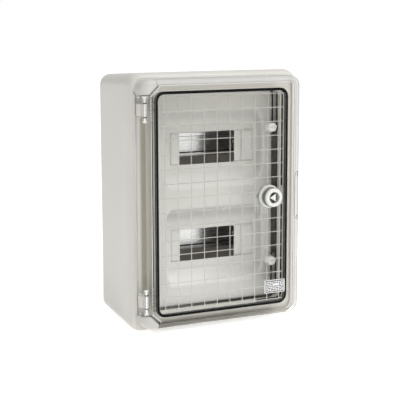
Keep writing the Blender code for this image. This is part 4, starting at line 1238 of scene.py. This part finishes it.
def add_world():
    """White to the camera, and a softer light source that is weaker on the left."""
    world = bpy.data.worlds.new("studio")
    world.use_nodes = True
    tree = world.node_tree
    background = tree.nodes["Background"]
    direction = tree.nodes.new("ShaderNodeTexCoord")
    axes = tree.nodes.new("ShaderNodeSeparateXYZ")
    tree.links.new(direction.outputs["Generated"], axes.inputs[0])
    sideways = tree.nodes.new("ShaderNodeMapRange")
    tree.links.new(axes.outputs[0], sideways.inputs[0])
    for index, value in enumerate((-1.0, 1.0, WORLD_STRENGTH * WORLD_LEFT, WORLD_STRENGTH)):
        sideways.inputs[index + 1].default_value = value
    path = tree.nodes.new("ShaderNodeLightPath")
    strength = tree.nodes.new("ShaderNodeMapRange")
    tree.links.new(path.outputs["Is Camera Ray"], strength.inputs[0])
    tree.links.new(sideways.outputs[0], strength.inputs[3])
    strength.inputs[4].default_value = 1.0
    tree.links.new(strength.outputs[0], background.inputs["Strength"])
    background.inputs["Color"].default_value = (1, 1, 1, 1)
    bpy.context.scene.world = world


def add_floor():
    shape = bmesh.new()
    bmesh.ops.create_grid(shape, x_segments=2, y_segments=2, size=FLOOR_SIZE / 2)
    data = bpy.data.meshes.new("floor")
    shape.to_mesh(data)
    shape.free()
    g = Graph("floor_paper")
    paper = g.mix(g.noise(300.0), (0.95, 0.95, 0.95), (0.97, 0.97, 0.97))
    g.set(Base_Color=paper, Roughness=0.9)
    g.set(Emission_Color=(1.0, 1.0, 1.0), Emission_Strength=FLOOR_GLOW)
    data.materials.append(g.material)
    floor = bpy.data.objects.new("floor", data)
    floor.location.z = CAD_BOX[0][2] - FLOOR_GAP
    bpy.context.scene.collection.objects.link(floor)


def finishes():
    """The finish of each kind of CAD node. A moulding's numbers are its roughness, the scale and depth
    of its grain, its edge radius and its colour drift."""
    mouldings = {
        "nylon_white": ((0.72, 0.72, 0.69), 0.3, 1800.0, 0.00003, 0.0006, 0.03),
        "head_nylon": ((0.86, 0.86, 0.84), 0.3, 1800.0, 0.00003, 0.0005, 0.02),
        "plug_rubber": ((0.30, 0.30, 0.29), 0.6, 1800.0, 0.00008, 0.0006, 0.06),
        "nut_nylon": ((0.36, 0.36, 0.35), 0.45, 1500.0, 0.00005, 0.0005, 0.05),
        "label_film": ((0.80, 0.80, 0.79), 0.35, 700.0, 0.00001, 0.0002, 0.02),
    }
    made = {name: moulded(name, *values).material for name, values in mouldings.items()}
    housing = abs_housing()
    zinc = rolled_steel("zinc_plate", (0.55, 0.55, 0.53), 0.34, 2)
    pin = rolled_steel("pin_steel", (0.78, 0.78, 0.77), 0.22, 2)
    return {
        "base_shell": housing,
        "rail_post": housing,
        "inner_cover": cover_plastic(),
        "fixing_plug": made["plug_rubber"],
        "din_rail": rolled_steel("rail_steel", (0.66, 0.66, 0.66), 0.24, 0),
        "rail_screw": zinc,
        "lock_cam": rolled_steel("cam_steel", (0.40, 0.40, 0.39), 0.34, 2),
        "cover_pawl": zinc,
        "hinge_pin": pin,
        "cover_hinge_pin": pin,
        "door_gasket": soft_rubber("gasket_rubber"),
        "lock_seal": soft_rubber("seal_rubber"),
        "door": clear_sheet("clear_polycarbonate", 0.004, 0.32, 0.0011),
        "data_label": made["label_film"],
        "lock_body": made["nylon_white"],
        "lock_nut": made["nut_nylon"],
        "lock_core": core_nylon(),
        "cover_fastener": made["head_nylon"],
    }


def dress_nodes(surfaces):
    """Gives each CAD node the finish whose name fits the node's name best."""
    for name, node in NODES.items():
        fitting = [key for key in surfaces if name.startswith(key)]
        surface = surfaces[max(fitting, key=len)]
        node.data.materials.clear()
        node.data.materials.append(surface)


surfaces = finishes()
dress_nodes(surfaces)
# A faint painted glow for the door's ribs and gate mark
rib_glow_surface = painted_rib_glow()
# Dark cords of dust and painted shade in the rails' corners, and the ink of the label's rules
corner_shade_and_dust = moulded("corner_shade_and_dust", (0.045, 0.04, 0.037), 0.7, 900.0, 0.00002, 0.0, 0.05).material
rule_ink = moulded("rule_ink", (0.05, 0.05, 0.055), 0.5, 900.0, 0.00001, 0.0, 0.05).material
# Painted shade and painted glint for the lines in the door's clear edges and hinge
edge_shade = painted_line("edge_shade", (0.20, 0.19, 0.16), (0.36, 0.35, 0.31), 0.35, 0.75)
edge_glint = painted_line("edge_glint", (0.80, 0.80, 0.79), (0.95, 0.95, 0.95), 0.5, 0.85)
deep_shade = painted_line("deep_shade", (0.03, 0.05, 0.055), (0.10, 0.09, 0.07), 0.7, 0.95)
round_edges(NODES["door_gasket"], GASKET_ROUND)
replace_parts(make_cover(surfaces["inner_cover"]), "inner_cover")
make_cover_fittings(surfaces["inner_cover"])
make_door_ribs(rib_glow_surface)
make_gate_mark(rib_glow_surface)
make_rail_shades(corner_shade_and_dust)
make_label_rules(rule_ink)
make_lock_flutes(rolled_steel("flute_metal", (0.30, 0.30, 0.28), 0.30, 1))
# Dark cords of painted shade along the sealing lip
make_lip_shade_lines(soft_rubber("lip_shade_black"))
make_door_lines(edge_shade, edge_glint, deep_shade)
make_grip_lines(edge_shade, edge_glint, deep_shade)
make_hinge_details(deep_shade, edge_glint)
add_floor()
add_camera()
add_world()
add_key_light()
bpy.context.scene.view_settings.view_transform = "Standard"
